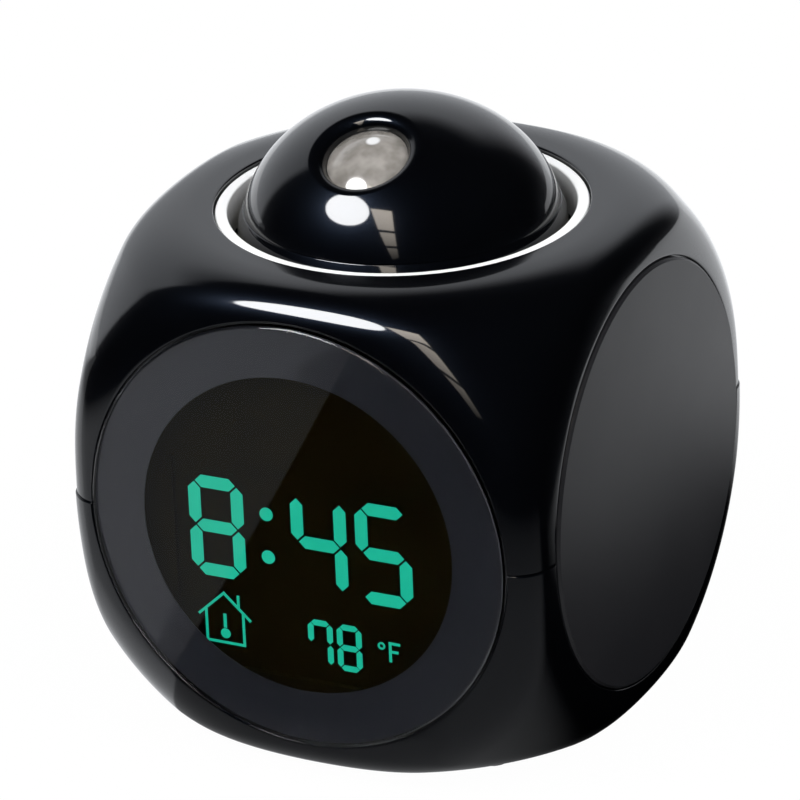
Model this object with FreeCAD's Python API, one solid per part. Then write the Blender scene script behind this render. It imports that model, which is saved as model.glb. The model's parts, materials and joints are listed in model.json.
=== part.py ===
import FreeCAD, Part
import math
import os
from FreeCAD import Vector

# Projection alarm clock, in millimetres. X points right, Y to the rear and Z up.
# Shapes are built about the casing's middle and are raised onto the feet when they are saved.

# Casing: a cube with rounded edges, met by a ball that takes its corners off
half_width = 50.0        # middle to the flat sides, front and rear
below = 50.0             # middle to the flat bottom
above = 48.6             # middle to the flat top
corner_cut = 1.51        # how far the ball comes inside the cube's upright edges
ball_radius = half_width * math.sqrt(2) - corner_cut
upper_edge = 6.0         # rounding of the upper casing's edges
lower_edge = 4.6         # the lower casing's are a touch sharper, so it stands proud at the corners
crease_round = 4.2       # softens the line where the ball meets the flats
wall = 2.4
parting = -0.3           # height of the joint between the casings
lip_high = 2.0
lip_wall = 1.1
foot_radius = 4.5
foot_high = 1.6
foot_proud = 0.8
foot_place = 29.0

# Clearances
fit = 0.06               # running fit on a radius
ease = 0.25              # round a panel, lens or key
touch = 0.05             # between faces that slide past or stop on each other

# Round covers
lens_border = 7.2        # from the lens to the flat side's edge
lens_radius = half_width - lens_border
lens_thick = 1.6
lens_proud = 0.35
lens_bevel = 0.4
window_radius = lens_radius - 10.7
film_thick = 0.15
tape_thick = 0.2
tape_width = 4.5
rim_inner = lens_radius - 6.3    # opening behind the front lens
rim_outer = lens_radius + 1.2
rim_thick = 1.2
side_border = 8.7
side_radius = half_width - side_border
side_thick = 1.5
side_proud = 0.3
side_bevel = 0.5
rear_border = 7.2
rear_radius = half_width - rear_border
rear_thick = 1.8
rear_sunk = 0.35
rear_opening = rear_radius - 4.8
ledge_thick = 1.85
clip_wide = 6.0
clip_thick = 1.5
clip_hook = 1.5

# Screws and posts
post_x = 36.0
post_y = 20.0
upper_post_radius = 3.5
lower_post_radius = 4.4
post_web = 2.5
long_screw_radius = 1.4
long_screw_head = 2.8
long_screw_head_high = 1.8
long_screw_length = 14.0
small_screw_radius = 0.95
small_screw_head = 1.8
small_screw_head_high = 1.3
small_screw_length = 5.0
boss_radius = 2.6

# Display
frame_half = 34.0
frame_low = -35.5
frame_high = 32.0
frame_corner = 6.0
frame_front = 1.2        # lip in front of the glass
ear_reach = 41.2
ear_x = 38.0
ear_z = 24.0
ear_thick = 1.6
glass_left = -29.0
glass_right = 27.5
glass_low = -33.0
glass_high = 13.5
glass_thick = 2.2
glass_border = 2.0       # covered by the frame's lip
guide_thick = 3.0
backlight_wide = 2.6
strip_high = 2.6
segment_thick = 0.15
board_thick = 1.6
chip_radius = 6.0
chip_high = 1.8

# Lit figures
figure_high = 20.6
figure_wide = 11.4
figure_stroke = 2.5
figure_gap = 0.3
figure_middle = -2.7
figure_places = [-24.2, -2.9, 10.4]
colon_place = -8.0
colon_spread = 4.4
colon_radius = 1.35
small_figure_high = 9.6
small_figure_wide = 5.1
small_figure_stroke = 1.15
small_figure_gap = 0.16
small_figure_middle = -23.2
small_figure_places = [-0.4, 5.6]
line_wide = 0.5
house_ridge = (-17.9, -16.3)
house_eaves = 5.3        # half width under the roof's ends
house_eaves_height = -21.2
house_walls = (-21.8, -14.0)
house_wall_top = -20.4
house_floor = -26.6
chimney = (-14.9, -18.9, -16.6)
bulb_height = -24.7
bulb_radius = 1.0
stem_half = 0.3
stem_heights = (-23.5, -20.6)
degree_place = (14.8, -21.4)
degree_radius = 0.75
degree_bore = 0.4
letter_left = 16.6
letter_heights = (-20.6, -22.3, -24.2)
letter_reach = (18.4, 18.0)

# Speaker
speaker_radius = 14.5
speaker_high = 4.2
cone_radius = 11.8
cone_thick = 0.4
magnet_radius = 7.2
magnet_high = 3.2
sound_hole = 0.9
sound_pitch = 3.2
sound_rings = 3

# Batteries and their box
cell_radius = 5.25
cell_length = 44.5
cell_pitch = 11.4
cell_gap = 7.65          # from the cells' middle to the rear panel
cell_middle = -8.4
box_wall = 1.2
box_ear_gap = 4.85       # from the box's ears to the rear panel
contact_space = 2.4
contact_thick = 0.4
door_pivot_gap = 0.25
door_grip = 7.0          # half width of the springy tongue that opens the door
grip_high = 6.0
slit_half = 0.4

# DC jack, slide switch and sensor
side_column = 28.5
jack_height = 8.0
jack_bore = 2.8
jack_barrel = 4.4
jack_deep = 9.0
jack_pin = 1.0
pin_recess = 2.5
switch_height = 8.0
switch_travel = 3.0
switch_deep = 4.0
knob_wide = 3.0
knob_high = 3.6
sensor_height = -10.0
slot_half = 3.5          # of the vent slots in front of the sensor
sensor_radius = 1.5

# Rear keys
key_height = 27.0
key_pitch = 11.0
key_wide = 8.0
key_high = 5.5
key_round = 1.2
key_proud = 0.7
key_flange = 0.8
key_travel = 0.8
key_board_gap = 6.85     # from the key board to the rear panel
key_board_half = 36.0
key_board_low = -14.0
key_board_high = 36.5
tact_size = 6.0
tact_high = 3.5
plunger_high = 0.8
plunger_radius = 1.7

# Top key
ring_outer = 35.6
ring_sunk = 0.6          # below the casing's top
ring_top = above - ring_sunk
ring_flange = 2.5
ring_inner = 33.2
ring_lower_inner = 32.7
ring_sleeve = 33.9
ring_bottom = ring_top - 7.0
tube_inner = 34.2
tube_outer = 37.6
tube_bottom = ring_top - 20.0
skirt_radius = 31.4
skirt_top_radius = 30.3
skirt_top = ring_top + 0.3
skirt_shoulder = skirt_top - 3.3
skirt_floor = tube_bottom + 8.0
skirt_floor_thick = 2.0
key_stop_gap = 0.3
snooze_travel = 1.5
key_base_thick = 1.5
spring_place = 26.0
spring_radius = 2.3
spring_wire = 0.25
spring_turns = 6
stop_radius = 1.5

# Turning dome and projector
dome_wide = 30.7
dome_tall = 25.1
dome_middle = skirt_top - 4.7
dome_wall = 2.0
neck_radius = 29.5
neck_wall = 2.0
head_floor_thick = 1.95
hub_radius = 20.0
hub_hole = 12.0
clip_ring_radius = 22.5
clip_ring_thick = 1.25
head_post_place = 24.6
head_post_radius = 2.3
lens_tilt = 64.5         # elevation of the projector's axis, towards the front
lens_forward = 14.5      # where that axis leaves the dome
lens_up = dome_middle + 20.3
bezel_radius = 10.2
bezel_deep = 2.2
throw_lens_radius = 7.8
throw_lens_edge = 1.4
throw_lens_sag = 1.4
barrel_radius = 8.9
barrel_bore = 7.0
barrel_end = 20.5
leg_place = 7.5          # legs that carry the barrel
leg_half = 1.5
leg_front = -13.0
leg_rear = 1.0
leg_deep = 12.0
slide_deep = 13.5
condenser_deep = 15.8
led_board_thick = 1.2
led_size = 3.2


# Simple shapes

def block(x0, x1, y0, y1, z0, z1):
    """Box between two corners."""
    return Part.makeBox(x1 - x0, y1 - y0, z1 - z0, Vector(x0, y0, z0))


def rod(radius, start, end):
    """Cylinder between two points."""
    path = end - start
    return Part.makeCylinder(radius, path.Length, start, path)


def upright(radius, low, high, x=0.0, y=0.0):
    return rod(radius, Vector(x, y, low), Vector(x, y, high))


def lengthwise(radius, front, rear, x=0.0, z=0.0):
    return rod(radius, Vector(x, front, z), Vector(x, rear, z))


def spun(profile):
    """Turns an outline of (radius, height) corners about Z."""
    corners = [Vector(r, 0, z) for r, z in profile]
    face = Part.Face(Part.makePolygon(corners + corners[:1]))
    return face.revolve(Vector(0, 0, 0), Vector(0, 0, 1), 360)


def joined(shapes):
    whole = shapes[0]
    for shape in shapes[1:]:
        whole = whole.fuse(shape)
    return whole.removeSplitter()


def cut(shape, tools):
    for tool in tools:
        shape = shape.cut(tool)
    return shape


def moved(shape, x=0.0, y=0.0, z=0.0):
    copy = shape.copy()
    copy.translate(Vector(x, y, z))
    return copy


def turned(shape, degrees):
    """Copy turned about the vertical axis."""
    copy = shape.copy()
    copy.rotate(Vector(0, 0, 0), Vector(0, 0, 1), degrees)
    return copy


def rolled(shape, degrees):
    """Copy turned about the front-to-rear axis."""
    copy = shape.copy()
    copy.rotate(Vector(0, 0, 0), Vector(0, 1, 0), degrees)
    return copy


def polar(radius, degrees):
    """Point at a radius in plan, as x and y."""
    return radius * math.cos(math.radians(degrees)), radius * math.sin(math.radians(degrees))


def disc(radius, front, rear, bevel):
    """Round cover across Y whose front edge is bevelled; front may be the larger Y."""
    shape = Part.makeCylinder(radius, abs(rear - front), Vector(0, 0, 0), Vector(0, 0, 1))
    outer = [e for e in shape.Edges if e.Curve.TypeId == "Part::GeomCircle" and e.CenterOfMass.z < 0.001]
    shape = shape.makeChamfer(bevel, outer)
    shape.rotate(Vector(0, 0, 0), Vector(1, 0, 0), -90 if rear > front else 90)
    return moved(shape, y=front)


def pill(wide, high, front, rear, corner, x, z):
    """Upright plate across Y with rounded corners."""
    shape = block(x - wide / 2, x + wide / 2, front, rear, z - high / 2, z + high / 2)
    edges = [e for e in shape.Edges if abs(e.tangentAt(e.FirstParameter).y) > 0.99]
    return shape.makeFillet(corner, edges)


def save(name, shape):
    """Raises a piece onto the feet and writes it."""
    placed = moved(shape, z=below + foot_proud)
    solids = placed.Solids
    shape_out = solids[0] if len(solids) == 1 else Part.makeCompound(solids)
    if not shape_out.isValid():
        print("not valid:", name)
    shape_out.exportStep("parts/" + name + ".step")
    saved[name] = (len(solids), round(shape_out.Volume, 1))


saved = {}


# Casings

def casing_form(edge, inset):
    """The casing's outer form, drawn in by inset on every side."""
    half = half_width - inset
    cube = block(-half, half, -half, half, inset - below, above - inset)
    cube = cube.makeFillet(edge - inset, cube.Edges)
    form = cube.common(Part.makeSphere(ball_radius - inset)).Solids[0]
    creases = []
    for line in form.Edges:
        faces = form.ancestorsOfType(line, Part.Face)
        if sum(face.Surface.TypeId == "Part::GeomSphere" for face in faces) == 1:
            creases.append(line)
    return form.makeFillet(crease_round - inset, creases)


def half_form(edge, inset, low, high):
    """Slice of the casing's form between two heights."""
    reach = 2 * half_width
    return casing_form(edge, inset).common(block(-reach, reach, -reach, reach, low, high))


def cover_seats():
    """Pockets that the round covers sit in, and the openings behind the front and rear ones."""
    front = -half_width
    rear = half_width
    lens_seat = front + lens_thick + tape_thick - lens_proud
    side_seat = half_width - side_thick - tape_thick + side_proud
    side = rod(side_radius + ease, Vector(side_seat, 0, 0), Vector(2 * half_width, 0, 0))
    return [
        lengthwise(lens_radius + ease, 2 * front, lens_seat),
        lengthwise(rim_inner, front, front + wall + rim_thick + touch),
        lengthwise(rear_radius + ease, panel_inner, 2 * rear),
        lengthwise(rear_opening, panel_inner - ledge_thick - touch, rear),
        side,
        side.mirror(Vector(0, 0, 0), Vector(1, 0, 0)),
    ]


def cover_rims():
    """Thicker rings inside the front and rear walls, which the covers bear on."""
    front = -half_width + wall
    return [
        lengthwise(rim_outer, front - touch, front + rim_thick),
        lengthwise(rim_outer, panel_inner - ledge_thick, half_width - wall + touch),
    ]


def ear_bosses(height):
    """Bosses on the front wall that the display frame is screwed to."""
    inner = -half_width + wall
    bosses = [lengthwise(boss_radius, inner - touch, ear_front, x, height) for x in (-ear_x, ear_x)]
    holes = [lengthwise(small_screw_radius, inner + touch, ear_front, x, height) for x in (-ear_x, ear_x)]
    return bosses, holes


def post_places():
    return [(x, y) for x in (-post_x, post_x) for y in (-post_y, post_y)]


def upper_casing():
    shell = half_form(upper_edge, 0, parting, above).cut(casing_form(upper_edge, wall))
    rebate = half_form(upper_edge, wall - lip_wall - touch, parting - 1, parting + lip_high + touch)
    inner = casing_form(upper_edge, wall)
    shell = shell.cut(rebate.cut(inner))
    keep = half_form(upper_edge, wall / 2, parting, above)
    above_lip = block(-half_width, half_width, -half_width, half_width, parting + lip_high + touch, above)
    rims = [rim.common(keep).common(above_lip) for rim in cover_rims()]
    tube = upright(tube_outer, tube_bottom, above - wall / 2)
    posts = [upright(upper_post_radius, parting, above - wall / 2, x, y) for x, y in post_places()]
    bosses, boss_holes = ear_bosses(ear_z)
    whole = joined([shell, tube] + rims + posts + bosses)
    pilot = parting + long_screw_length - post_web + 1.0
    post_holes = [upright(long_screw_radius, parting, pilot, x, y) for x, y in post_places()]
    hole_top = tube_bottom + small_screw_length
    tube_holes = [upright(small_screw_radius, tube_bottom, hole_top, *polar(key_screw_place, a))
                  for a in key_screw_angles]
    opening = [
        upright(tube_inner, tube_bottom, above),
        upright(ring_outer + ease, ring_top - ring_flange, above),
    ]
    return cut(whole, opening + cover_seats() + post_holes + tube_holes + boss_holes)


def lower_casing():
    shell = half_form(lower_edge, 0, -below, parting).cut(casing_form(lower_edge, wall))
    lip = half_form(upper_edge, wall - lip_wall, parting - 1, parting + lip_high)
    lip = lip.cut(casing_form(upper_edge, wall))
    keep = half_form(lower_edge, wall / 2, -below, parting)
    rims = [rim.common(keep) for rim in cover_rims()]
    floor = wall - below
    posts = [upright(lower_post_radius, floor - touch, parting, x, y) for x, y in post_places()]
    bosses, boss_holes = ear_bosses(-ear_z)
    fence = upright(speaker_radius + ease + box_wall, floor - touch, floor + 3).cut(
        upright(speaker_radius + ease, floor - 1, floor + 3))
    whole = joined([shell, lip, fence] + rims + posts + bosses)
    head_room = [upright(long_screw_head + ease, -below, parting - post_web, x, y) for x, y in post_places()]
    shanks = [upright(long_screw_radius + ease, -below, parting, x, y) for x, y in post_places()]
    feet = [upright(foot_radius + touch, -below, foot_top, x, y) for x, y in foot_places()]
    box_half_outer = box_half + box_wall + ease
    notch = block(-box_half_outer, box_half_outer, panel_inner - 2 * ledge_thick, panel_inner,
                  box_low - box_wall - ease, 0)
    return cut(whole, cover_seats() + head_room + shanks + feet + boss_holes + sound_holes() + [notch])


def sound_holes():
    """Rings of holes in the floor under the speaker."""
    holes = [upright(sound_hole, -below, wall - below)]
    for ring in range(1, sound_rings + 1):
        for step in range(6 * ring):
            x, y = polar(ring * sound_pitch, step * 60 / ring)
            holes.append(upright(sound_hole, -below, wall - below, x, y))
    return holes


def foot_places():
    return [(x, y) for x in (-foot_place, foot_place) for y in (-foot_place, foot_place)]


def foot(x, y):
    shape = upright(foot_radius, foot_top - foot_high, foot_top, x, y)
    lower = [e for e in shape.Edges if abs(e.CenterOfMass.z - (foot_top - foot_high)) < 0.01]
    return shape.makeFillet(0.3, lower)


def screw(radius, head_radius, head_high, length, under_head, direction):
    """Pan-head screw whose head bears on a point and whose shank runs along a direction."""
    way = Vector(*direction)
    shank = rod(radius, under_head, under_head + way * length)
    head = rod(head_radius, under_head - way * head_high, under_head)
    return head.fuse(shank)


def casing_screws():
    bearing = parting - post_web
    return [screw(long_screw_radius, long_screw_head, long_screw_head_high, long_screw_length,
                  Vector(x, y, bearing), (0, 0, 1)) for x, y in post_places()]


# Round covers

def front_lens():
    front = -half_width - lens_proud
    return disc(lens_radius, front, front + lens_thick, lens_bevel)


def lens_mask():
    back = -half_width - lens_proud + lens_thick
    return cut(lengthwise(lens_radius - lens_bevel, back, back + film_thick),
               [lengthwise(window_radius, back, back + film_thick)])


def adhesive_rings():
    """Rings that hold the lens and both side panels, the front one behind the mask film."""
    lens_back = -half_width - lens_proud + lens_thick
    front = lengthwise(lens_radius - 1, lens_back + film_thick, lens_back + tape_thick).cut(
        lengthwise(lens_radius - 1 - tape_width, lens_back, 0))
    seat = half_width + side_proud - side_thick
    side = rod(side_radius - 1, Vector(seat - tape_thick, 0, 0), Vector(seat, 0, 0)).cut(
        rod(side_radius - 1 - tape_width, Vector(0, 0, 0), Vector(seat, 0, 0)))
    return [front, side, side.mirror(Vector(0, 0, 0), Vector(1, 0, 0))]


def side_panel():
    """Right-hand panel; the left one is its mirror image."""
    outer = half_width + side_proud
    panel = disc(side_radius, -outer, side_thick - outer, side_bevel)
    return turned(panel, 90)


def rear_clip(angle):
    """Snap leg on the back of the rear panel that hooks behind the ledge."""
    leg_outer = rear_opening - ease
    end = panel_inner - ledge_thick - touch
    leg = block(leg_outer - clip_thick, leg_outer, end - clip_hook, panel_inner + touch,
                -clip_wide / 2, clip_wide / 2)
    hook = block(leg_outer - touch, leg_outer + clip_hook, end - clip_hook, end,
                 -clip_wide / 2, clip_wide / 2)
    return rolled(leg.fuse(hook), -angle)


def rear_bosses():
    """Points behind the rear panel that carry the key board and the battery box, with their rear faces."""
    return [(x, z, key_board_depth) for x, z in board_screws] + [(x, z, box_ear_rear) for x, z in box_screws]


def rear_panel():
    plate = lengthwise(rear_radius, panel_inner, panel_outer)
    bosses = [lengthwise(boss_radius - 0.4, face, panel_inner + touch, x, z) for x, z, face in rear_bosses()]
    clips = [rear_clip(angle) for angle in (-15, 90, 195, 270)]
    whole = joined([plate] + bosses + clips)
    holes = [lengthwise(small_screw_radius, face, face + small_screw_length, x, z)
             for x, z, face in rear_bosses()]
    for x in key_places():
        holes.append(pill(key_wide + 2 * ease, key_high + 2 * ease,
                          panel_inner, panel_outer, key_round + ease,
                          x, key_height))
    holes.append(lengthwise(jack_barrel + touch, panel_inner, panel_outer, side_column, jack_height))
    slot_high = knob_high + switch_travel + 2 * ease
    slot_middle = switch_height + switch_travel / 2
    holes.append(block(-side_column - knob_wide / 2 - ease, -side_column + knob_wide / 2 + ease, panel_inner,
                       panel_outer, slot_middle - slot_high / 2, slot_middle + slot_high / 2))
    for step in (-1, 0, 1):
        z = sensor_height + 3 * step
        holes.append(block(-side_column - slot_half, -side_column + slot_half, panel_inner, panel_outer,
                           z - 0.6, z + 0.6))
    holes.append(block(-box_half, box_half, panel_inner, panel_outer, box_low, box_high))
    return cut(whole, holes)


def ring_trim():
    return spun([
        (ring_inner, ring_top), (ring_outer, ring_top), (ring_outer, ring_top - ring_flange),
        (ring_sleeve, ring_top - ring_flange), (ring_sleeve, ring_bottom), (ring_lower_inner, ring_bottom),
    ])


# Display

def frame_outline(front, rear):
    high = frame_high - frame_low
    return pill(2 * frame_half, high, front, rear, frame_corner, 0, (frame_high + frame_low) / 2)


def display_frame():
    tray = frame_outline(frame_front_face, frame_rear_face)
    ears = [block(-ear_reach, ear_reach, ear_front, ear_front + ear_thick, z - 3, z + 3)
            for z in (-ear_z, ear_z)]
    whole = joined([tray] + ears)
    pocket = block(glass_left - ease, glass_right + ease, glass_front, frame_rear_face,
                   glass_low - ease, glass_high + ease)
    view = block(glass_left + glass_border, glass_right - glass_border, frame_front_face, glass_front,
                 glass_low + glass_border, glass_high - glass_border)
    holes = [lengthwise(small_screw_radius + 0.15, ear_front, ear_front + ear_thick, x, z)
             for x in (-ear_x, ear_x) for z in (-ear_z, ear_z)]
    board_holes = [lengthwise(small_screw_radius, frame_rear_face - 4, frame_rear_face, x, z)
                   for x, z in main_board_screws]
    return cut(whole, [pocket, view] + holes + board_holes)


def display_glass():
    return block(glass_left, glass_right, glass_front, glass_front + glass_thick, glass_low, glass_high)


def light_guide():
    rear = glass_front + glass_thick
    return block(glass_left + backlight_wide + ease, glass_right, rear, rear + guide_thick,
                 glass_low, glass_high - strip_high - ease)


def backlight_strip():
    """Narrow board at the guide's edge with three lamps set in it."""
    rear = glass_front + glass_thick
    board = block(glass_left, glass_left + backlight_wide - 1, rear, rear + guide_thick,
                  glass_low, glass_high - strip_high - ease)
    middle = (glass_low + glass_high - strip_high) / 2
    lamps = [block(glass_left + 1, glass_left + backlight_wide, rear + 0.5, rear + guide_thick - 0.5,
                   middle + 12 * step - 1.5, middle + 12 * step + 1.5) for step in (-1, 0, 1)]
    return joined([board] + lamps)


def contact_rubber():
    rear = glass_front + glass_thick
    return block(glass_left + glass_border, glass_right - glass_border, rear, rear + guide_thick,
                 glass_high - strip_high, glass_high)


def figure(x, middle, wide, high, stroke, gap, bars):
    """Seven-bar figure: a top, b and c right, d foot, e and f left, g middle. Bars have pointed ends."""
    half = stroke / 2
    left, right = x + half, x + wide - half
    low, high_line = middle - high / 2 + half, middle + high / 2 - half

    def bar(a, b):
        along = (b - a).normalize()
        across = Vector(-along.z, 0, along.x) * half
        a, b = a + along * gap, b - along * gap
        points = [a, a + along * half + across, b - along * half + across, b,
                  b - along * half - across, a + along * half - across]
        return Part.Face(Part.makePolygon(points + points[:1]))

    corner = {
        "lt": Vector(left, 0, high_line), "rt": Vector(right, 0, high_line),
        "lm": Vector(left, 0, middle), "rm": Vector(right, 0, middle),
        "lb": Vector(left, 0, low), "rb": Vector(right, 0, low),
    }
    ends = {"a": ("lt", "rt"), "b": ("rt", "rm"), "c": ("rm", "rb"), "d": ("lb", "rb"),
            "e": ("lm", "lb"), "f": ("lt", "lm"), "g": ("lm", "rm")}
    return [bar(corner[ends[name][0]], corner[ends[name][1]]) for name in bars]


def line_figure(points):
    """Thin line through points in the display's plane, as one face."""
    strokes = []
    for (x0, z0), (x1, z1) in zip(points, points[1:]):
        a, b = Vector(x0, 0, z0), Vector(x1, 0, z1)
        along = (b - a).normalize() * (line_wide / 2)
        across = Vector(-along.z, 0, along.x)
        corners = [a - along + across, b + along + across, b + along - across, a - along - across]
        strokes.append(Part.Face(Part.makePolygon(corners + corners[:1])))
    return strokes


def thickened(faces):
    """One solid from flat line figures."""
    return joined([face.extrude(Vector(0, segment_thick, 0)) for face in faces])


def house_outline():
    """Roof, walls and chimney of the indoor sign."""
    ridge_x = house_ridge[0]
    left, right = house_walls
    faces = line_figure([(ridge_x - house_eaves, house_eaves_height), house_ridge,
                         (ridge_x + house_eaves, house_eaves_height)])
    faces += line_figure([(left, house_wall_top), (left, house_floor), (right, house_floor),
                          (right, house_wall_top)])
    faces += line_figure([(chimney[0], chimney[1]), (chimney[0], chimney[2])])
    return thickened(faces)


def letter_f():
    """Unit letter after the degree ring."""
    high, middle, low = letter_heights
    faces = line_figure([(letter_left, high), (letter_left, low)])
    for z, reach in zip((high, middle), letter_reach):
        faces += line_figure([(letter_left, z), (reach, z)])
    return thickened(faces)


def display_segments():
    faces = []
    for x, bars in zip(figure_places, ("abcdefg", "bcfg", "acdfg")):
        faces += figure(x, figure_middle, figure_wide, figure_high, figure_stroke, figure_gap, bars)
    for x, bars in zip(small_figure_places, ("abcf", "abcdefg")):
        faces += figure(x, small_figure_middle, small_figure_wide, small_figure_high, small_figure_stroke,
                        small_figure_gap, bars)
    solids = [face.extrude(Vector(0, segment_thick, 0)) for face in faces]
    front = glass_front - segment_thick
    placed = [moved(solid, y=front) for solid in solids]
    for z in (-colon_spread, colon_spread):
        placed.append(lengthwise(colon_radius, front, glass_front, colon_place, figure_middle + z))
    placed += [moved(drawn, y=front) for drawn in (house_outline(), letter_f())]
    bulb_x = house_ridge[0]
    placed.append(lengthwise(bulb_radius, front, glass_front, bulb_x, bulb_height))
    placed.append(block(bulb_x - stem_half, bulb_x + stem_half, front, glass_front, *stem_heights))
    degree = lengthwise(degree_radius, front, glass_front, *degree_place)
    placed.append(degree.cut(lengthwise(degree_bore, front, glass_front, *degree_place)))
    return placed


def main_board():
    board = frame_outline(frame_rear_face, frame_rear_face + board_thick)
    holes = [lengthwise(small_screw_radius + 0.15, frame_rear_face, frame_rear_face + board_thick, x, z)
             for x, z in main_board_screws]
    return cut(board, holes)


def main_chip():
    back = frame_rear_face + board_thick
    bead = Part.makeSphere(chip_radius * 1.8, Vector(-8, back - chip_radius * 1.8 + chip_high, -8))
    return bead.common(lengthwise(2 * chip_radius, back, back + 2 * chip_high, -8, -8))


# Speaker

def speaker_frame():
    seat = wall - below
    return spun([
        (cone_radius, seat), (speaker_radius, seat),
        (speaker_radius, seat + 1), (cone_radius + 1.4, seat + 1),
        (magnet_radius + 1.2, seat + speaker_high), (magnet_radius - 1.6, seat + speaker_high),
        (magnet_radius - 1.6, seat + speaker_high - 0.8), (magnet_radius, seat + speaker_high - 0.8),
        (cone_radius, seat + 0.9),
    ])


def speaker_cone():
    seat = wall - below
    return spun([
        (0, seat + 2.4), (magnet_radius - 3, seat + 2.4),
        (cone_radius - 1, seat + 0.3), (cone_radius, seat + 0.3),
        (cone_radius, seat + 0.3 + cone_thick), (cone_radius - 0.9, seat + 0.3 + cone_thick),
        (magnet_radius - 2.9, seat + 2.4 + cone_thick), (0, seat + 2.4 + cone_thick),
    ])


def speaker_magnet():
    seat = wall - below + speaker_high
    disc_part = upright(magnet_radius, seat, seat + magnet_high)
    pole = upright(magnet_radius - 1.6 - touch, seat - 0.8, seat + touch)
    return disc_part.fuse(pole)


# Batteries

def battery_box():
    walls = block(-box_half - box_wall, box_half + box_wall, box_front, panel_inner, box_low - box_wall,
                  box_high + box_wall)
    space = block(-box_half, box_half, box_front + box_wall, panel_inner, box_low, box_high)
    ears = []
    holes = []
    for x, z in box_screws:
        edge = math.copysign(box_half + box_wall / 2, x)
        tip = x + math.copysign(2.4, x)
        ears.append(block(min(edge, tip), max(edge, tip), box_ear_rear - ear_thick, box_ear_rear,
                          z - 3, z + 3))
        holes.append(lengthwise(small_screw_radius + 0.15, box_ear_rear - ear_thick, box_ear_rear, x, z))
    ribs = []
    for x in (-cell_pitch / 2, cell_pitch / 2):
        rib = block(x - 0.3, x + 0.3, box_front + box_wall / 2, cell_depth - 2.5, box_low + 3, box_high - 3)
        ribs.append(rib)
    return cut(joined([walls.cut(space)] + ears + ribs), holes)


def battery_cell(x, flip):
    """Dry cell with its raised positive end up, or down when flipped."""
    low = cell_middle - cell_length / 2
    high = cell_middle + cell_length / 2
    body = upright(cell_radius, low, high - 1.0, x, cell_depth)
    rim = [e for e in body.Edges if e.Curve.TypeId == "Part::GeomCircle"]
    body = body.makeFillet(0.6, rim)
    cell = body.fuse(upright(1.9, high - 1.2, high, x, cell_depth))
    if flip:
        cell.rotate(Vector(x, cell_depth, cell_middle), Vector(0, 1, 0), 180)
    return cell


def contact_plates(seat, way):
    """Thin plates on one end wall of the box; each has a bridge that reaches a cell. way is 1 up, -1 down."""
    plates = []
    for x in (-cell_pitch, 0, cell_pitch):
        plate = block(x - 4, x + 4, cell_depth - 4, cell_depth + 4, 0, contact_thick)
        bridge = block(x - 2.5, x + 2.5, cell_depth - 1.5, cell_depth + 1.5, 0, contact_space)
        under = block(x - 2.5 + contact_thick, x + 2.5 - contact_thick, cell_depth - 2, cell_depth + 2,
                      contact_thick, contact_space - contact_thick)
        whole = plate.fuse(bridge.cut(under))
        if way < 0:
            whole = whole.mirror(Vector(0, 0, 0), Vector(0, 0, 1))
        plates.append(moved(whole, z=seat))
    return plates


def battery_door():
    plate = block(-box_half + ease, box_half - ease, panel_inner, panel_outer,
                  box_low + door_pivot_gap, box_high - ease)
    tabs = [block(x - 2.5, x + 2.5, panel_inner - 1.6, panel_inner + touch, box_low + door_pivot_gap,
                  box_low + door_pivot_gap + 1.6) for x in (-door_grip - 2, door_grip + 2)]
    slits = [block(x - slit_half, x + slit_half, panel_inner - 2, panel_outer, box_high - grip_high, box_high)
             for x in (-door_grip, door_grip)]
    grips = [block(-door_grip + 1.5, door_grip - 1.5, panel_outer - 0.5, panel_outer,
                   z - slit_half, z + slit_half)
             for z in (box_high - 2.0, box_high - 3.6, box_high - 5.2)]
    return cut(joined([plate] + tabs), slits + grips)


# DC jack, slide switch, sensor and rear keys

def dc_jack():
    """Jack body on the key board with its barrel through the panel."""
    body = block(side_column - 4.6, side_column + 4.6, key_board_depth, panel_inner, jack_height - 4.6,
                 jack_height + 4.6)
    barrel = lengthwise(jack_barrel, panel_inner - touch, panel_outer, side_column, jack_height)
    bore = lengthwise(jack_bore, panel_outer - jack_deep + 1, panel_outer, side_column, jack_height)
    pin_hole = lengthwise(jack_pin, key_board_depth, panel_outer, side_column, jack_height)
    return cut(body.fuse(barrel), [bore, pin_hole])


def dc_jack_pin():
    return lengthwise(jack_pin, key_board_depth, panel_outer - pin_recess, side_column, jack_height)


def slide_switch():
    middle = switch_height + switch_travel / 2
    return block(-side_column - 2.6, -side_column + 2.6, key_board_depth, key_board_depth + switch_deep,
                 middle - 5, middle + 5)


def switch_knob():
    x = -side_column
    z = switch_height
    top = pill(knob_wide, knob_high, panel_inner - 0.5, panel_outer + key_proud, 0.5, x, z)
    groove = [block(x - knob_wide, x + knob_wide, panel_outer + key_proud - 0.3, panel_outer + key_proud,
                    z + step - 0.25, z + step + 0.25) for step in (-0.9, 0, 0.9)]
    flange = block(x - knob_wide / 2 - 1, x + knob_wide / 2 + 1, panel_inner - 0.9, panel_inner - 0.1,
                   z - knob_high / 2 - 1.5, z + knob_high / 2 + 1.5)
    stem = block(x - 0.8, x + 0.8, key_board_depth + switch_deep + touch, panel_inner - 0.5, z - 0.8, z + 0.8)
    return cut(joined([top, flange, stem]), groove)


def temperature_sensor():
    """Bead on the key board, behind the vent slots."""
    bead = lengthwise(sensor_radius, key_board_depth, key_board_depth + 3, -side_column, sensor_height)
    return bead.fuse(Part.makeSphere(sensor_radius, Vector(-side_column, key_board_depth + 3, sensor_height)))


def key_places():
    return [key_pitch * step for step in (-1.5, -0.5, 0.5, 1.5)]


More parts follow.
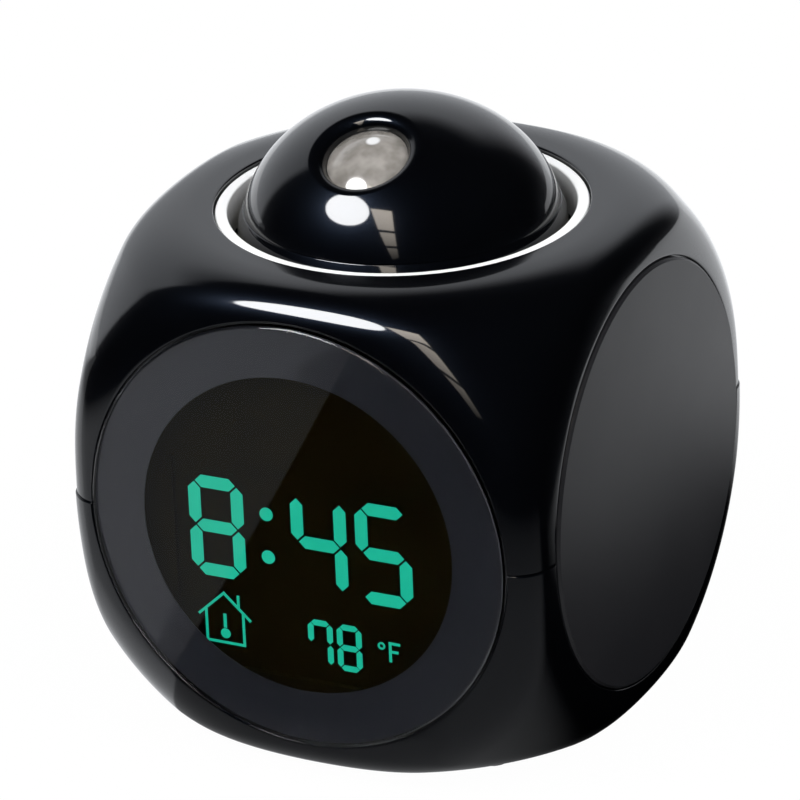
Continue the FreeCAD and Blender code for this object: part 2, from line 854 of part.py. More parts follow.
def rear_key(x):
    face = panel_outer + key_proud
    cap = pill(key_wide, key_high, panel_inner - 0.5, face, key_round, x, key_height)
    front_edges = [e for e in cap.Edges if abs(e.CenterOfMass.y - face) < 0.01]
    cap = cap.makeFillet(0.3, front_edges)
    back = panel_inner - touch - key_flange
    flange = pill(key_wide + 2 * key_flange, key_high + 2 * key_flange, back, panel_inner - touch,
                  key_round, x, key_height)
    stem = lengthwise(1.5, tact_top + key_travel + touch, back + touch, x, key_height)
    return joined([cap, flange, stem])


def key_board():
    board = block(-key_board_half, key_board_half, key_board_depth - board_thick, key_board_depth,
                  key_board_low, key_board_high)
    side = box_half + box_wall + 1
    room = block(-side, side, 0, 2 * half_width, key_board_low - 1, box_high + box_wall + 1)
    holes = [lengthwise(small_screw_radius + 0.15, key_board_depth - board_thick, key_board_depth, x, z)
             for x, z in board_screws]
    corners = [e for e in board.Edges if abs(e.tangentAt(e.FirstParameter).y) > 0.99]
    return cut(board.makeFillet(3, corners), [room] + holes)


def key_switches():
    """Small push switches behind the four keys."""
    switches = []
    half = tact_size / 2
    for x in key_places():
        body = block(x - half, x + half, key_board_depth, key_board_depth + tact_high, key_height - half,
                     key_height + half)
        plunger = lengthwise(plunger_radius, key_board_depth + tact_high - touch, tact_top, x, key_height)
        switches.append(body.fuse(plunger))
    return switches


# Snooze key, its base and springs

def snooze_key():
    """Round key that carries the dome: a skirt, a floor with a bearing hole, and a flange as its stop."""
    flange_top = ring_bottom - key_stop_gap
    outer = [
        (hub_radius, skirt_floor), (tube_inner - ease, skirt_floor), (tube_inner - ease, flange_top),
        (skirt_radius, flange_top), (skirt_radius, skirt_shoulder),
        (skirt_radius - 0.25, skirt_shoulder + 1.6),
        (skirt_top_radius + 0.35, skirt_top - 0.6), (skirt_top_radius, skirt_top), (neck_radius, skirt_top),
        (neck_radius, skirt_floor + skirt_floor_thick), (hub_radius, skirt_floor + skirt_floor_thick),
    ]
    key = spun(outer)
    pusher_low = tube_bottom + tact_high + plunger_high + snooze_travel + touch
    pusher = upright(plunger_radius + 0.3, pusher_low, skirt_floor + touch, spring_place, 0)
    pins = [upright(spring_radius - spring_wire - 0.5, skirt_floor - 2, skirt_floor + touch,
                    *polar(spring_place, a)) for a in spring_angles]
    return joined([key, pusher] + pins)


def key_base():
    """Plate under the casing's tube that the springs and the snooze switch stand on."""
    plate = upright(tube_outer, tube_bottom - key_base_thick, tube_bottom)
    hole = upright(hub_hole, tube_bottom - key_base_thick, tube_bottom)
    pins = [upright(spring_radius - spring_wire - 0.5, tube_bottom - touch, tube_bottom + 3,
                    *polar(spring_place, a)) for a in spring_angles]
    stop_top = skirt_floor - snooze_travel - 0.1
    stops = [upright(stop_radius, tube_bottom - touch, stop_top, *polar(spring_place + 4, a))
             for a in key_screw_angles]
    screw_holes = [upright(small_screw_radius + 0.15, tube_bottom - key_base_thick, tube_bottom,
                           *polar(key_screw_place, a)) for a in key_screw_angles]
    return cut(joined([plate] + pins + stops), [hole] + screw_holes)


def snooze_switch():
    half = tact_size / 2
    body = block(spring_place - half, spring_place + half, -half, half, tube_bottom, tube_bottom + tact_high)
    return body.fuse(upright(plunger_radius, tube_bottom + tact_high - touch,
                             tube_bottom + tact_high + plunger_high, spring_place, 0))


def bent(start, start_way, end):
    """Arc from start, leaving along start_way, to end."""
    chord = end - start
    along = Vector(chord).normalize()
    side = start_way - along * start_way.dot(along)
    turn = start_way.getAngle(chord)
    middle = start + chord * 0.5 + side.normalize() * (chord.Length / 2 * math.tan(turn / 2))
    return Part.Arc(start, middle, end).toShape()


def double_arc(start, start_way, end, end_way):
    """Two arcs that leave start and reach end along the given directions and meet smoothly between them."""
    chord = end - start
    both = start_way + end_way
    slack = 2 * (1 - start_way.dot(end_way))
    lean = chord.dot(both)
    reach = (math.sqrt(lean ** 2 + slack * chord.dot(chord)) - lean) / slack
    meet = (start + end + (start_way - end_way) * reach) * 0.5
    meet_way = (end - end_way * reach - start - start_way * reach).normalize()
    return [bent(start, start_way, meet), bent(meet, meet_way, end)]


def key_spring(angle):
    """Coil between the base and the key, whose quarter turns are double arcs and whose ends stay clear."""
    long = skirt_floor - tube_bottom - 2 * spring_wire - 2 * touch
    rise = long / (2 * math.pi * spring_turns)
    path = []
    for quarter in range(4 * spring_turns):
        ends = []
        for a in (quarter * math.pi / 2, (quarter + 1) * math.pi / 2):
            place = Vector(spring_radius * math.cos(a), spring_radius * math.sin(a), rise * a)
            way = Vector(-spring_radius * math.sin(a), spring_radius * math.cos(a), rise).normalize()
            ends += [place, way]
        path += double_arc(*ends)
    start_way = path[0].tangentAt(path[0].FirstParameter)
    circle = Part.makeCircle(spring_wire, path[0].Vertexes[0].Point, start_way)
    coil = Part.Wire(path).makePipeShell([Part.Wire([circle])], True, False)
    x, y = polar(spring_place, angle)
    return moved(coil, x, y, tube_bottom + spring_wire + touch)


def small_screws():
    """All the small screws of the display, rear parts and key base."""
    ways = [(Vector(x, ear_front + ear_thick, z), (0, -1, 0))
            for x in (-ear_x, ear_x) for z in (-ear_z, ear_z)]
    ways += [(Vector(x, frame_rear_face + board_thick, z), (0, -1, 0)) for x, z in main_board_screws]
    ways += [(Vector(x, key_board_depth - board_thick, z), (0, 1, 0)) for x, z in board_screws]
    ways += [(Vector(x, box_ear_rear - ear_thick, z), (0, 1, 0)) for x, z in box_screws]
    ways += [(Vector(*polar(key_screw_place, a), tube_bottom - key_base_thick), (0, 0, 1))
             for a in key_screw_angles]
    return [screw(small_screw_radius, small_screw_head, small_screw_head_high, small_screw_length, place, way)
            for place, way in ways]


# Turning dome and projector, whose parts lie along the tilted axis

def along_axis(deep):
    """Point on the projector's axis at a depth below the dome's surface."""
    tilt = math.radians(lens_tilt)
    return Vector(0, -lens_forward + deep * math.cos(tilt), lens_up - deep * math.sin(tilt))


def dome_form(inset):
    """Flattened ball, drawn in by inset."""
    ball = Part.makeSphere(1.0)
    shape = FreeCAD.Matrix()
    shape.scale(dome_wide - inset, dome_wide - inset, dome_tall - inset)
    form = ball.transformGeometry(shape)
    return moved(form, z=dome_middle)


def dome():
    rim = skirt_top + 2 * touch
    upper = block(-half_width, half_width, -half_width, half_width, rim, 2 * half_width)
    shell = dome_form(0).common(upper)
    neck = upright(neck_radius - fit, skirt_floor + skirt_floor_thick + touch, rim + 1)
    posts = [upright(head_post_radius, head_floor_top, lens_up - 4, *polar(head_post_place, a))
             for a in head_post_angles]
    inner_low = upright(neck_radius - fit - neck_wall, skirt_floor, rim)
    inner_high = dome_form(dome_wall).common(upper)
    hollow = inner_low.fuse(inner_high)
    kept_posts = [post.common(dome_form(dome_wall / 2)) for post in posts]
    whole = shell.fuse(neck).cut(hollow)
    whole = joined([whole] + kept_posts)
    flare = bezel_flare()
    throat = rod(throw_lens_radius + 0.1, along_axis(bezel_deep + throw_lens_edge + 2),
                 along_axis(bezel_deep - 0.5))
    seat = rod(barrel_radius + touch, along_axis(barrel_end), along_axis(bezel_deep))
    screw_holes = [upright(small_screw_radius, head_floor_top, head_floor_top + small_screw_length,
                           *polar(head_post_place, a)) for a in head_post_angles]
    return cut(whole, [flare, throat, seat] + screw_holes)


def bezel_flare():
    """Cone that widens from the lens to the bezel's rim and on out of the dome."""
    reach = 3 * bezel_deep
    narrow = throw_lens_radius + 0.1
    wide = narrow + (bezel_radius - narrow) * reach / bezel_deep
    return Part.makeCone(narrow, wide, reach, along_axis(bezel_deep), along_axis(0) - along_axis(1))


def head_base():
    """Floor of the dome with a hub that turns in the key's hole."""
    low = skirt_floor + skirt_floor_thick + touch
    plate = upright(neck_radius - fit - neck_wall - touch, low, head_floor_top)
    hub = upright(hub_radius - fit, skirt_floor - touch, low + touch)
    screw_holes = [upright(small_screw_radius + 0.15, low, head_floor_top, *polar(head_post_place, a))
                   for a in head_post_angles]
    sink_top = low + small_screw_head_high + touch
    sinks = [upright(small_screw_head + 0.15, low, sink_top, *polar(head_post_place, a))
             for a in head_post_angles]
    return cut(plate.fuse(hub), [upright(hub_hole, skirt_floor - 1, head_floor_top)] + screw_holes + sinks)


def swivel_clip():
    high = skirt_floor - touch
    return upright(clip_ring_radius, high - clip_ring_thick, high).cut(
        upright(hub_hole + 1, high - clip_ring_thick, high))


def projector_barrel():
    tube = rod(barrel_radius, along_axis(barrel_end), along_axis(bezel_deep + touch))
    legs = [block(x - leg_half, x + leg_half, leg_front, leg_rear, head_floor_top, along_axis(leg_deep).z)
            for x in (-leg_place, leg_place)]
    bore = rod(barrel_bore, along_axis(barrel_end + 8), along_axis(0))
    seat_deep = bezel_deep + throw_lens_edge + touch
    lens_seat = rod(throw_lens_radius + touch, along_axis(seat_deep), along_axis(0))
    below_board = rod(barrel_radius + 1, along_axis(barrel_end + 12), along_axis(barrel_end))
    return cut(joined([tube] + legs), [bore, lens_seat, below_board])


def projection_lens():
    """Clear lens with a domed front and a flat back."""
    edge_front = along_axis(bezel_deep + touch)
    edge_back = along_axis(bezel_deep + touch + throw_lens_edge)
    bow = (throw_lens_radius ** 2 + throw_lens_sag ** 2) / (2 * throw_lens_sag)
    ball = Part.makeSphere(bow, along_axis(bezel_deep + touch - throw_lens_sag + bow))
    return rod(throw_lens_radius, edge_back, along_axis(0)).common(ball).fuse(
        rod(throw_lens_radius, edge_back, edge_front)).removeSplitter()


def image_slide():
    return rod(barrel_bore - touch, along_axis(slide_deep + 1), along_axis(slide_deep))


def condenser_lens():
    return rod(barrel_bore - touch, along_axis(condenser_deep + 2.2), along_axis(condenser_deep))


def led_board():
    return rod(barrel_radius, along_axis(barrel_end + led_board_thick), along_axis(barrel_end))


def projector_led():
    """Lamp on its board, facing up the barrel."""
    base = rod(led_size / 2, along_axis(barrel_end), along_axis(barrel_end - 0.6))
    return base.fuse(Part.makeSphere(led_size / 2 - 0.3, along_axis(barrel_end - 0.6)).common(
        rod(led_size, along_axis(barrel_end - 0.5), along_axis(0))))


def head_screws():
    bearing = skirt_floor + skirt_floor_thick + touch + small_screw_head_high
    return [screw(small_screw_radius, small_screw_head, small_screw_head_high - touch, small_screw_length,
                  Vector(*polar(head_post_place, a), bearing + touch), (0, 0, 1)) for a in head_post_angles]


# Places worked out from the sizes above
foot_top = foot_high - foot_proud - below
panel_outer = half_width - rear_sunk
panel_inner = panel_outer - rear_thick
key_board_depth = panel_inner - key_board_gap
cell_depth = panel_inner - cell_gap
frame_front_face = -half_width + wall + rim_thick
glass_front = frame_front_face + frame_front
frame_rear_face = glass_front + glass_thick + guide_thick
ear_front = frame_front_face + 3.0
tact_top = key_board_depth + tact_high + plunger_high
box_half = 1.5 * cell_pitch + 0.3
box_low = cell_middle - cell_length / 2 - contact_space
box_high = cell_middle + cell_length / 2 + contact_space
box_front = cell_depth - cell_radius - box_wall - 0.5
box_ear_rear = panel_inner - box_ear_gap
head_floor_top = skirt_floor + skirt_floor_thick + touch + head_floor_thick
key_screw_place = (tube_inner + tube_outer) / 2
main_board_screws = [(-31.3, 28.0), (31.3, 28.0), (-31.3, -27.0), (31.3, -27.0)]
board_screws = [(-30.0, 17.6), (30.0, 17.6), (0.0, 33.4)]
box_screws = [(-21.8, -26.0), (21.8, -26.0)]
key_screw_angles = (30, 150, 270)
spring_angles = (90, 210, 330)
head_post_angles = (90, 210, 330)


def group(solids):
    return Part.makeCompound(solids)


def build():
    os.makedirs("parts", exist_ok=True)
    save("upper_casing", upper_casing())
    save("lower_casing", lower_casing())
    save("front_lens", front_lens())
    save("lens_mask", lens_mask())
    save("adhesive_rings", group(adhesive_rings()))
    right = side_panel()
    save("side_panel_right", right)
    save("side_panel_left", right.mirror(Vector(0, 0, 0), Vector(1, 0, 0)))
    save("rear_panel", rear_panel())
    save("ring_trim", ring_trim())
    for number, (x, y) in enumerate(foot_places(), 1):
        save("foot_%d" % number, foot(x, y))
    save("casing_screws", group(casing_screws()))
    save("display_frame", display_frame())
    save("display_glass", display_glass())
    save("display_segments", group(display_segments()))
    save("light_guide", light_guide())
    save("backlight_strip", backlight_strip())
    save("contact_rubber", contact_rubber())
    save("main_board", main_board())
    save("main_chip", main_chip())
    save("speaker_frame", speaker_frame())
    save("speaker_cone", speaker_cone())
    save("speaker_magnet", speaker_magnet())
    save("battery_box", battery_box())
    for number, step in enumerate((-1, 0, 1), 1):
        save("battery_cell_%d" % number, battery_cell(step * cell_pitch, step == 0))
    save("contacts_upper", group(contact_plates(box_high, -1)))
    save("contacts_lower", group(contact_plates(box_low, 1)))
    save("battery_door", battery_door())
    save("dc_jack", dc_jack())
    save("dc_jack_pin", dc_jack_pin())
    save("slide_switch", slide_switch())
    save("switch_knob", switch_knob())
    save("temperature_sensor", temperature_sensor())
    save("key_board", key_board())
    save("key_switches", group(key_switches()))
    for name, x in zip(("set", "up", "down", "alarm"), key_places()):
        save("key_" + name, rear_key(x))
    save("snooze_key", snooze_key())
    save("key_base", key_base())
    save("snooze_switch", snooze_switch())
    for number, angle in enumerate(spring_angles, 1):
        save("key_spring_%d" % number, key_spring(angle))
    save("small_screws", group(small_screws()))
    save("dome", dome())
    save("head_base", head_base())
    save("swivel_clip", swivel_clip())
    save("projector_barrel", projector_barrel())
    save("projection_lens", projection_lens())
    save("image_slide", image_slide())
    save("condenser_lens", condenser_lens())
    save("led_board", led_board())
    save("projector_led", projector_led())
    save("head_screws", group(head_screws()))
    print(len(saved), "nodes")
    for name, (count, volume) in saved.items():
        print(name, count, "solids", volume)


build()
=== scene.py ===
# %% [markdown]
# # A projection alarm clock
# The clock is a rounded cube of polished black plastic with a round lens in front, round panels on
# its other sides, and a dome on top that turns and tilts a small projector towards the ceiling.
# The engineering model already holds every piece at its real size, so it is loaded first, as a frame
# that nothing here moves. What this file adds is the look: smoother outer shells and a finish for
# every surface.

import json
import math

import bmesh
import bpy
import numpy as np
from mathutils import Matrix, Vector


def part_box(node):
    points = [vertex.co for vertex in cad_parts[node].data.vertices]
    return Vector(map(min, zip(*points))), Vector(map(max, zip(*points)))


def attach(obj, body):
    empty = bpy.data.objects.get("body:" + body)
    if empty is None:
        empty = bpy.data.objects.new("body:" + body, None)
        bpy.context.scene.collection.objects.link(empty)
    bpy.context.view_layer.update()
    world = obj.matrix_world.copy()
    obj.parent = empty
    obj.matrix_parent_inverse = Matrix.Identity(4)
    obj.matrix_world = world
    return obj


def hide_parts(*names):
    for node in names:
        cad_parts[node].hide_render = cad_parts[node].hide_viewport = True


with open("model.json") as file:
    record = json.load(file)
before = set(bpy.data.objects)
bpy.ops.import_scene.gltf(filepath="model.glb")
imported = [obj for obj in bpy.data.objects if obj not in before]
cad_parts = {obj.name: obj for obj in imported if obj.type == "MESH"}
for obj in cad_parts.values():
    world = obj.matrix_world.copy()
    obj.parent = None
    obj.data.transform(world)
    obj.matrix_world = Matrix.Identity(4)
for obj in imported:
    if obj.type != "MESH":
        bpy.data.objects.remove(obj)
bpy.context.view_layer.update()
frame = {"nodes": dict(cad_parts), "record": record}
nodes = frame["nodes"]
MM = 1000.0


def span(node):
    """Lowest and highest corner of a node, in millimetres."""
    low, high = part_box(node)
    return np.array(low) * MM, np.array(high) * MM


print("pieces in the frame:", len(nodes))

# %% [markdown]
# ## The camera
# A product photograph is taken from a little over a metre with a long lens, so that upright lines
# stay nearly parallel. Azimuth, elevation and a small roll turn the camera about the middle of the
# casing, and then the view is slid in its own plane until the clock sits where it does in the picture.

# %% Camera
AZIMUTH = math.radians(27.11)
ELEVATION = math.radians(24.35)
ROLL = math.radians(-2.54)
DISTANCE = 1200.0
IMAGE = 800
FOCAL_PIXELS = 6230.15
AIM_PIXEL = (412.2, 433.5)
SENSOR = 36.0

casing_middle = np.array([0.0, 0.0, span("lower_casing")[0][2] + 50.0])
backward = Vector((math.sin(AZIMUTH) * math.cos(ELEVATION), -math.cos(AZIMUTH) * math.cos(ELEVATION),
                   math.sin(ELEVATION)))
level = Vector((math.cos(AZIMUTH), math.sin(AZIMUTH), 0.0))
raised = backward.cross(level)
right = level * math.cos(ROLL) + raised * math.sin(ROLL)
upward = raised * math.cos(ROLL) - level * math.sin(ROLL)
slide_right = -(AIM_PIXEL[0] - IMAGE / 2) / FOCAL_PIXELS * DISTANCE
slide_up = (AIM_PIXEL[1] - IMAGE / 2) / FOCAL_PIXELS * DISTANCE
eye = Vector(casing_middle) + backward * DISTANCE + right * slide_right + upward * slide_up

camera = bpy.data.objects.new("camera", bpy.data.cameras.new("camera"))
bpy.context.scene.collection.objects.link(camera)
turn = Matrix((right, upward, backward)).transposed().to_4x4()
camera.matrix_world = Matrix.Translation(eye / MM) @ turn
camera.data.sensor_width = SENSOR
camera.data.lens = SENSOR * FOCAL_PIXELS / IMAGE
bpy.context.scene.camera = camera
print("camera at", [round(v) for v in eye], "mm, lens", round(camera.data.lens), "mm")

# %% [markdown]
# ## Shader maths as plain Python
# A material is a small program made of nodes. Drawing it by hand is slow and hard to read, so a
# class wraps a socket and lets sums and products of sockets add the Math nodes by themselves.
# Every other node comes from one method that sets a node up and fills its sockets.

# %% Shader trees
class Field:
    """A socket of a shader tree. Arithmetic on fields adds Math nodes."""

    def __init__(self, tree, socket):
        self.tree = tree
        self.socket = socket

    def maths(self, operation, *values):
        return self.tree.node("Math", {"operation": operation}, dict(enumerate(values)))

    def __add__(self, other):
        return self.maths("ADD", self, other)

    def __sub__(self, other):
        return self.maths("SUBTRACT", self, other)

    def __rsub__(self, other):
        return self.maths("SUBTRACT", other, self)

    def __mul__(self, other):
        return self.maths("MULTIPLY", self, other)

    def __truediv__(self, other):
        return self.maths("DIVIDE", self, other)

    __radd__ = __add__
    __rmul__ = __mul__


class Tree:
    """A shader tree that makes its nodes through one method."""

    def __init__(self, tree):
        self.tree = tree
        tree.nodes.clear()

    def node(self, kind, settings, values, output=0):
        """Adds a node, sets it up, fills its sockets and gives one of its outputs as a field."""
        node = self.tree.nodes.new("ShaderNode" + kind)
        for name, value in settings.items():
            if name == "stops":
                ramp = node.color_ramp.elements
                while len(ramp) < len(value):
                    ramp.new(0.5)
                for stop, (place, colour) in zip(ramp, value):
                    stop.position = place
                    stop.color = (*colour, 1.0)
            else:
                setattr(node, name, value)
        for name, value in values.items():
            socket = node.inputs[name]
            if isinstance(value, Field):
                self.tree.links.new(value.socket, socket)
            elif hasattr(value, "__len__") and socket.type == "RGBA":
                socket.default_value = (*value, 1.0)
            else:
                socket.default_value = value
        return Field(self, node.outputs[output]) if node.outputs else node

    def mix(self, factor, first, second):
        """Colour that goes from first to second."""
        return self.node("Mix", {"data_type": "RGBA"}, {0: factor, 6: first, 7: second}, 2)

    def step(self, value, low, high):
        """0 below low, 1 above high and a smooth ramp between them."""
        return self.node("MapRange", {"interpolation_type": "SMOOTHSTEP"},
                         {"Value": value, "From Min": low, "From Max": high})


class Finish(Tree):
    """A material with one Principled shader and patterns that read Object coordinates."""

    def __init__(self, name, **sockets):
        self.material = bpy.data.materials.new(name)
        self.material.use_nodes = True
        super().__init__(self.material.node_tree)
        self.place = self.node("TexCoord", {}, {}, output=3)
        values = {key.replace("_", " "): value for key, value in sockets.items()}
        self.shader = self.node("BsdfPrincipled", {}, values)
        self.inputs = self.tree.nodes[-1].inputs
        self.node("OutputMaterial", {}, {"Surface": self.shader})

    def noise(self, size, detail=2.0, rough=0.5):
        """Noise from 0 to 1 whose features are about size millimetres wide."""
        return self.node("TexNoise", {}, {"Vector": self.place, "Scale": MM / size, "Detail": detail,
                                          "Roughness": rough})

    def feed(self, **sockets):
        """Links fields to the Principled shader's sockets."""
        for key, value in sockets.items():
            self.tree.links.new(value.socket, self.inputs[key.replace("_", " ")])
        return self

    def bump(self, height, distance):
        """Relief of a height field, whose full step is distance millimetres."""
        self.feed(Normal=self.node("Bump", {}, {"Height": height, "Distance": distance / MM}))
        return self


print("shader tree helpers are ready")

# %% [markdown]
# ## Surfaces from formulas
# Every new piece is a surface worked out with numpy: a grid of points that depends on two
# parameters. Round pieces are a profile turned about an axis. A profile's corners get small arcs,
# because no moulded edge is perfectly sharp, and a small arc is what catches the light.

# %% Mesh helpers
def welded(name, grids, caps=(), sharp=38.0):
    """One mesh from grids of points in millimetres, with flat caps, merged where they meet.

    A grid of rows by columns gives one four-sided face between each two rows and columns.
    Edges that turn by more than sharp degrees are shaded as edges."""
    points, faces, start = [], [], 0
    for grid in grids:
        rows, columns = grid.shape[:2]
        index = start + np.arange(rows * columns).reshape(rows, columns)
        quads = np.stack([index[:-1, :-1], index[1:, :-1], index[1:, 1:], index[:-1, 1:]], -1)
        faces += quads.reshape(-1, 4).tolist()
        points.append(grid.reshape(-1, 3))
        start += rows * columns
    for cap in caps:
        faces.append(list(range(start, start + len(cap))))
        points.append(cap)
        start += len(cap)
    mesh = bpy.data.meshes.new(name)
    mesh.from_pydata(np.concatenate(points) / MM, [], faces)
    work = bmesh.new()
    work.from_mesh(mesh)
    bmesh.ops.remove_doubles(work, verts=work.verts, dist=2e-6)
    bmesh.ops.recalc_face_normals(work, faces=work.faces)
    work.to_mesh(mesh)
    work.free()
    mesh.shade_smooth()
    mesh.set_sharp_from_angle(angle=math.radians(sharp))
    return mesh


def piece(name, mesh, finish, body, slot, *replaced):
    """Puts a mesh into the scene as a piece that rides on a body and stands for CAD nodes."""
    made = bpy.data.objects.new(name, mesh)
    bpy.context.scene.collection.objects.link(made)
    mesh.materials.append(finish.material)
    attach(made, body)
    if replaced:
        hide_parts(*replaced)
    print(name, len(mesh.polygons), "faces")
    return made


def rounded(corners, steps=6):
    """Outline through (x, y, radius) corners, each replaced by an arc that touches both sides."""
    corners = np.array(corners, float)
    outline = []
    count = len(corners)
    for i in range(count):
        here, radius = corners[i, :2], corners[i, 2]
        if radius == 0:
            outline.append(here[None])
            continue
        before = corners[i - 1, :2] - here
        after = corners[(i + 1) % count, :2] - here
        before /= np.linalg.norm(before)
        after /= np.linalg.norm(after)
        half_angle = math.acos(np.clip(before @ after, -1, 1)) / 2
        start = here + before * radius / math.tan(half_angle)
        end = here + after * radius / math.tan(half_angle)
        middle = here + (before + after) / np.linalg.norm(before + after) * radius / math.sin(half_angle)
        first, last = start - middle, end - middle
        share = np.linspace(0, 1, steps + 1)[:, None]
        sweep = math.pi - 2 * half_angle
        arc = (np.sin((1 - share) * sweep) * first + np.sin(share * sweep) * last) / math.sin(sweep)
        outline.append(middle + arc)
    return np.concatenate(outline)


def turned(outline, steps=192):
    """Carries a closed outline of (radius, height) round Z: x = r cos a, y = r sin a, z = h."""
    outline = np.vstack([outline, outline[:1]])
    angle = np.linspace(0, 2 * math.pi, steps + 1)
    radius, height = outline[:, :1], outline[:, 1:]
    return np.stack([radius * np.cos(angle), radius * np.sin(angle), height + 0 * angle], -1)


def towards(grid, axis, origin=(0, 0, 0)):
    """Turns a grid's Z to an axis and moves it to an origin."""
    turn_to = np.array(Vector((0, 0, 1)).rotation_difference(Vector(axis)).to_matrix())
    return grid @ turn_to.T + np.array(origin, float)


print("mesh helpers are ready")

# %% [markdown]
# ## Polished black plastic
# Polished moulded plastic has a sharp reflection from its skin and, under it, a faint wide haze
# that shows as a bluish bloom round bright lights. A sharp coat over a rougher, slightly blue
# shine gives both. Slow changes of roughness keep the haze from looking machined.

# %% Polished black finish
def polished_black():
    """Sharp coat over a faint, rougher bluish shine."""
    finish = Finish("polished_black", Roughness=0.3, Specular_IOR_Level=0.08, Specular_Tint=(0.42, 0.6, 1.0),
                    Coat_Weight=1.0, Coat_Roughness=0.06, Coat_IOR=1.5)
    cloud = finish.noise(18.0, 3.0)
    finish.feed(Base_Color=finish.mix(cloud, (0.0004, 0.0004, 0.0006), (0.0008, 0.0009, 0.0012)),
                Roughness=cloud * 0.10 + 0.28)
    return finish.bump(finish.noise(0.35, 1.0), 0.0012)


def plastic(name, colour, rough, grain=0.3, depth=0.004):
    """Moulded plastic or rubber with a slow cloud of colour and a fine grain."""
    finish = Finish(name)
    cloud = finish.noise(5.0, 3.0)
    darker = tuple(0.78 * c for c in colour)
    finish.feed(Base_Color=finish.mix(cloud, darker, colour), Roughness=cloud * 0.12 + (rough - 0.06))
    return finish.bump(finish.noise(grain, 2.0), depth)


casing_black = polished_black()
soft_rubber = plastic("soft_rubber", (0.025, 0.025, 0.026), 0.75, 0.25, 0.01)
print("finish:", casing_black.material.name)

# %% [markdown]
# ## Satin, printed and glossy finishes
# The side and rear panels have a fine spark-eroded grain that spreads reflections into soft
# gradients. The ring round the dome is glossy white, with painted shade and warm bounce light that
# make it darker and creamy down inside its funnel.
# The film behind the front lens is printed dark grey.

# %% Panel, ring and film finishes
def satin_black(name, grain=0.16, depth=0.004, rough=0.36):
    """Black plastic with a spark-eroded grain."""
    finish = Finish(name, Specular_IOR_Level=0.5)
    cloud = finish.noise(9.0, 3.0)
    finish.feed(Base_Color=finish.mix(cloud, (0.008, 0.008, 0.0095), (0.012, 0.012, 0.0135)),
                Roughness=cloud * 0.06 + rough)
    return finish.bump(finish.noise(grain, 2.0), depth)


def white_gloss(funnel_low, funnel_high):
    """White plastic with painted shade and warm bounce light, darker and creamy from funnel_high down to
    funnel_low, in millimetres.
    """
    finish = Finish("white_gloss", Roughness=0.16, Specular_IOR_Level=0.5, Subsurface_Weight=0.0)
    height = finish.node("SeparateXYZ", {}, {"Vector": finish.place}, output=2)
    # Painted shade and bounce light: lower down the funnel, the colour turns darker and creamy.
    deep = finish.step(height, funnel_high / MM, funnel_low / MM)
    mottle = finish.noise(6.0, 2.0)
    pale = finish.mix(mottle, (0.87, 0.865, 0.85), (0.90, 0.895, 0.88))
    finish.feed(Base_Color=finish.mix(deep, pale, (0.72, 0.68, 0.58)), Roughness=mottle * 0.05 + 0.13)
    return finish


def printed_film():
    """Glossy film printed with fine dark grey dots."""
    finish = Finish("printed_film", Specular_IOR_Level=0.5)
    dots = finish.noise(0.12, 1.0)
    finish.feed(Base_Color=finish.mix(dots, (0.026, 0.028, 0.036), (0.032, 0.0345, 0.044)),
                Roughness=dots * 0.04 + 0.06)
    return finish


panel_black = satin_black("satin_black")
ring_white = white_gloss(span("ring_trim")[0][2], span("ring_trim")[1][2] - 0.6)
film_grey = printed_film()
print("finishes:", panel_black.material.name, ring_white.material.name, film_grey.material.name)

# %% [markdown]
# ## The casing's shape
# The casing is a cube with rounded edges whose corners a large ball takes off. Where the flats meet
# the ball the real moulding has soft creases, with no line that a reflection could break at. A
# formula gives such a shape directly: the distance to the rounded box and the distance to the ball
# are joined by a smooth maximum, and the surface is where the result is zero. Along each ray from
# the middle a bisection finds that point.

# %% Casing formula
HALF = 50.0
EDGE_ROUND = 6.0
BALL = 69.2
BALL_LOW = 0.7
SOFTNESS = 6.2
WALL = 2.4
bottom = span("lower_casing")[0][2]
top = span("upper_casing")[1][2]
parting = span("upper_casing")[0][2]
ray_start = np.array([0.0, 0.0, parting])


def casing_field(points):
    """Distance from the casing's skin, negative inside: max(box, ball) + max(s - |box - ball|, 0)^2 / 4s."""
    box_middle = np.array([0, 0, (top + bottom) / 2])
    box_half = np.array([HALF, HALF, (top - bottom) / 2])
    past = np.abs(points - box_middle) - (box_half - EDGE_ROUND)
    box = np.linalg.norm(np.maximum(past, 0), axis=-1) + np.minimum(past.max(-1), 0) - EDGE_ROUND
    ball = np.linalg.norm(points - casing_middle + [0, 0, BALL_LOW], axis=-1) - BALL
    return np.maximum(box, ball) + np.maximum(SOFTNESS - np.abs(box - ball), 0) ** 2 / (4 * SOFTNESS)


def on_casing(rays, inset=0.0):
    """Where rays from the middle of the parting line meet the skin, or a shell inset from it."""
    rays = rays / np.linalg.norm(rays, axis=-1, keepdims=True)
    near, far = np.full(rays.shape[:-1], 20.0), np.full(rays.shape[:-1], 90.0)
    for _ in range(34):
        middle = (near + far) / 2
        inside = casing_field(ray_start + rays * middle[..., None]) < -inset
        near, far = np.where(inside, middle, near), np.where(inside, far, middle)
    return ray_start + rays * near[..., None]


print("casing", 2 * HALF, "mm wide, from", round(bottom, 2), "to", round(top, 2), "mm high")
print("parting line at", round(parting, 2))

# %% [markdown]
# ## A grid that follows the round openings
# Each side of the casing has a round seat for a lens or panel. A grid whose lines run from that
# circle out to the edges of the cube keeps the circle exact and leaves no ragged cut. The lines are
# closer together at the parting line, so that its small rounding has enough points.

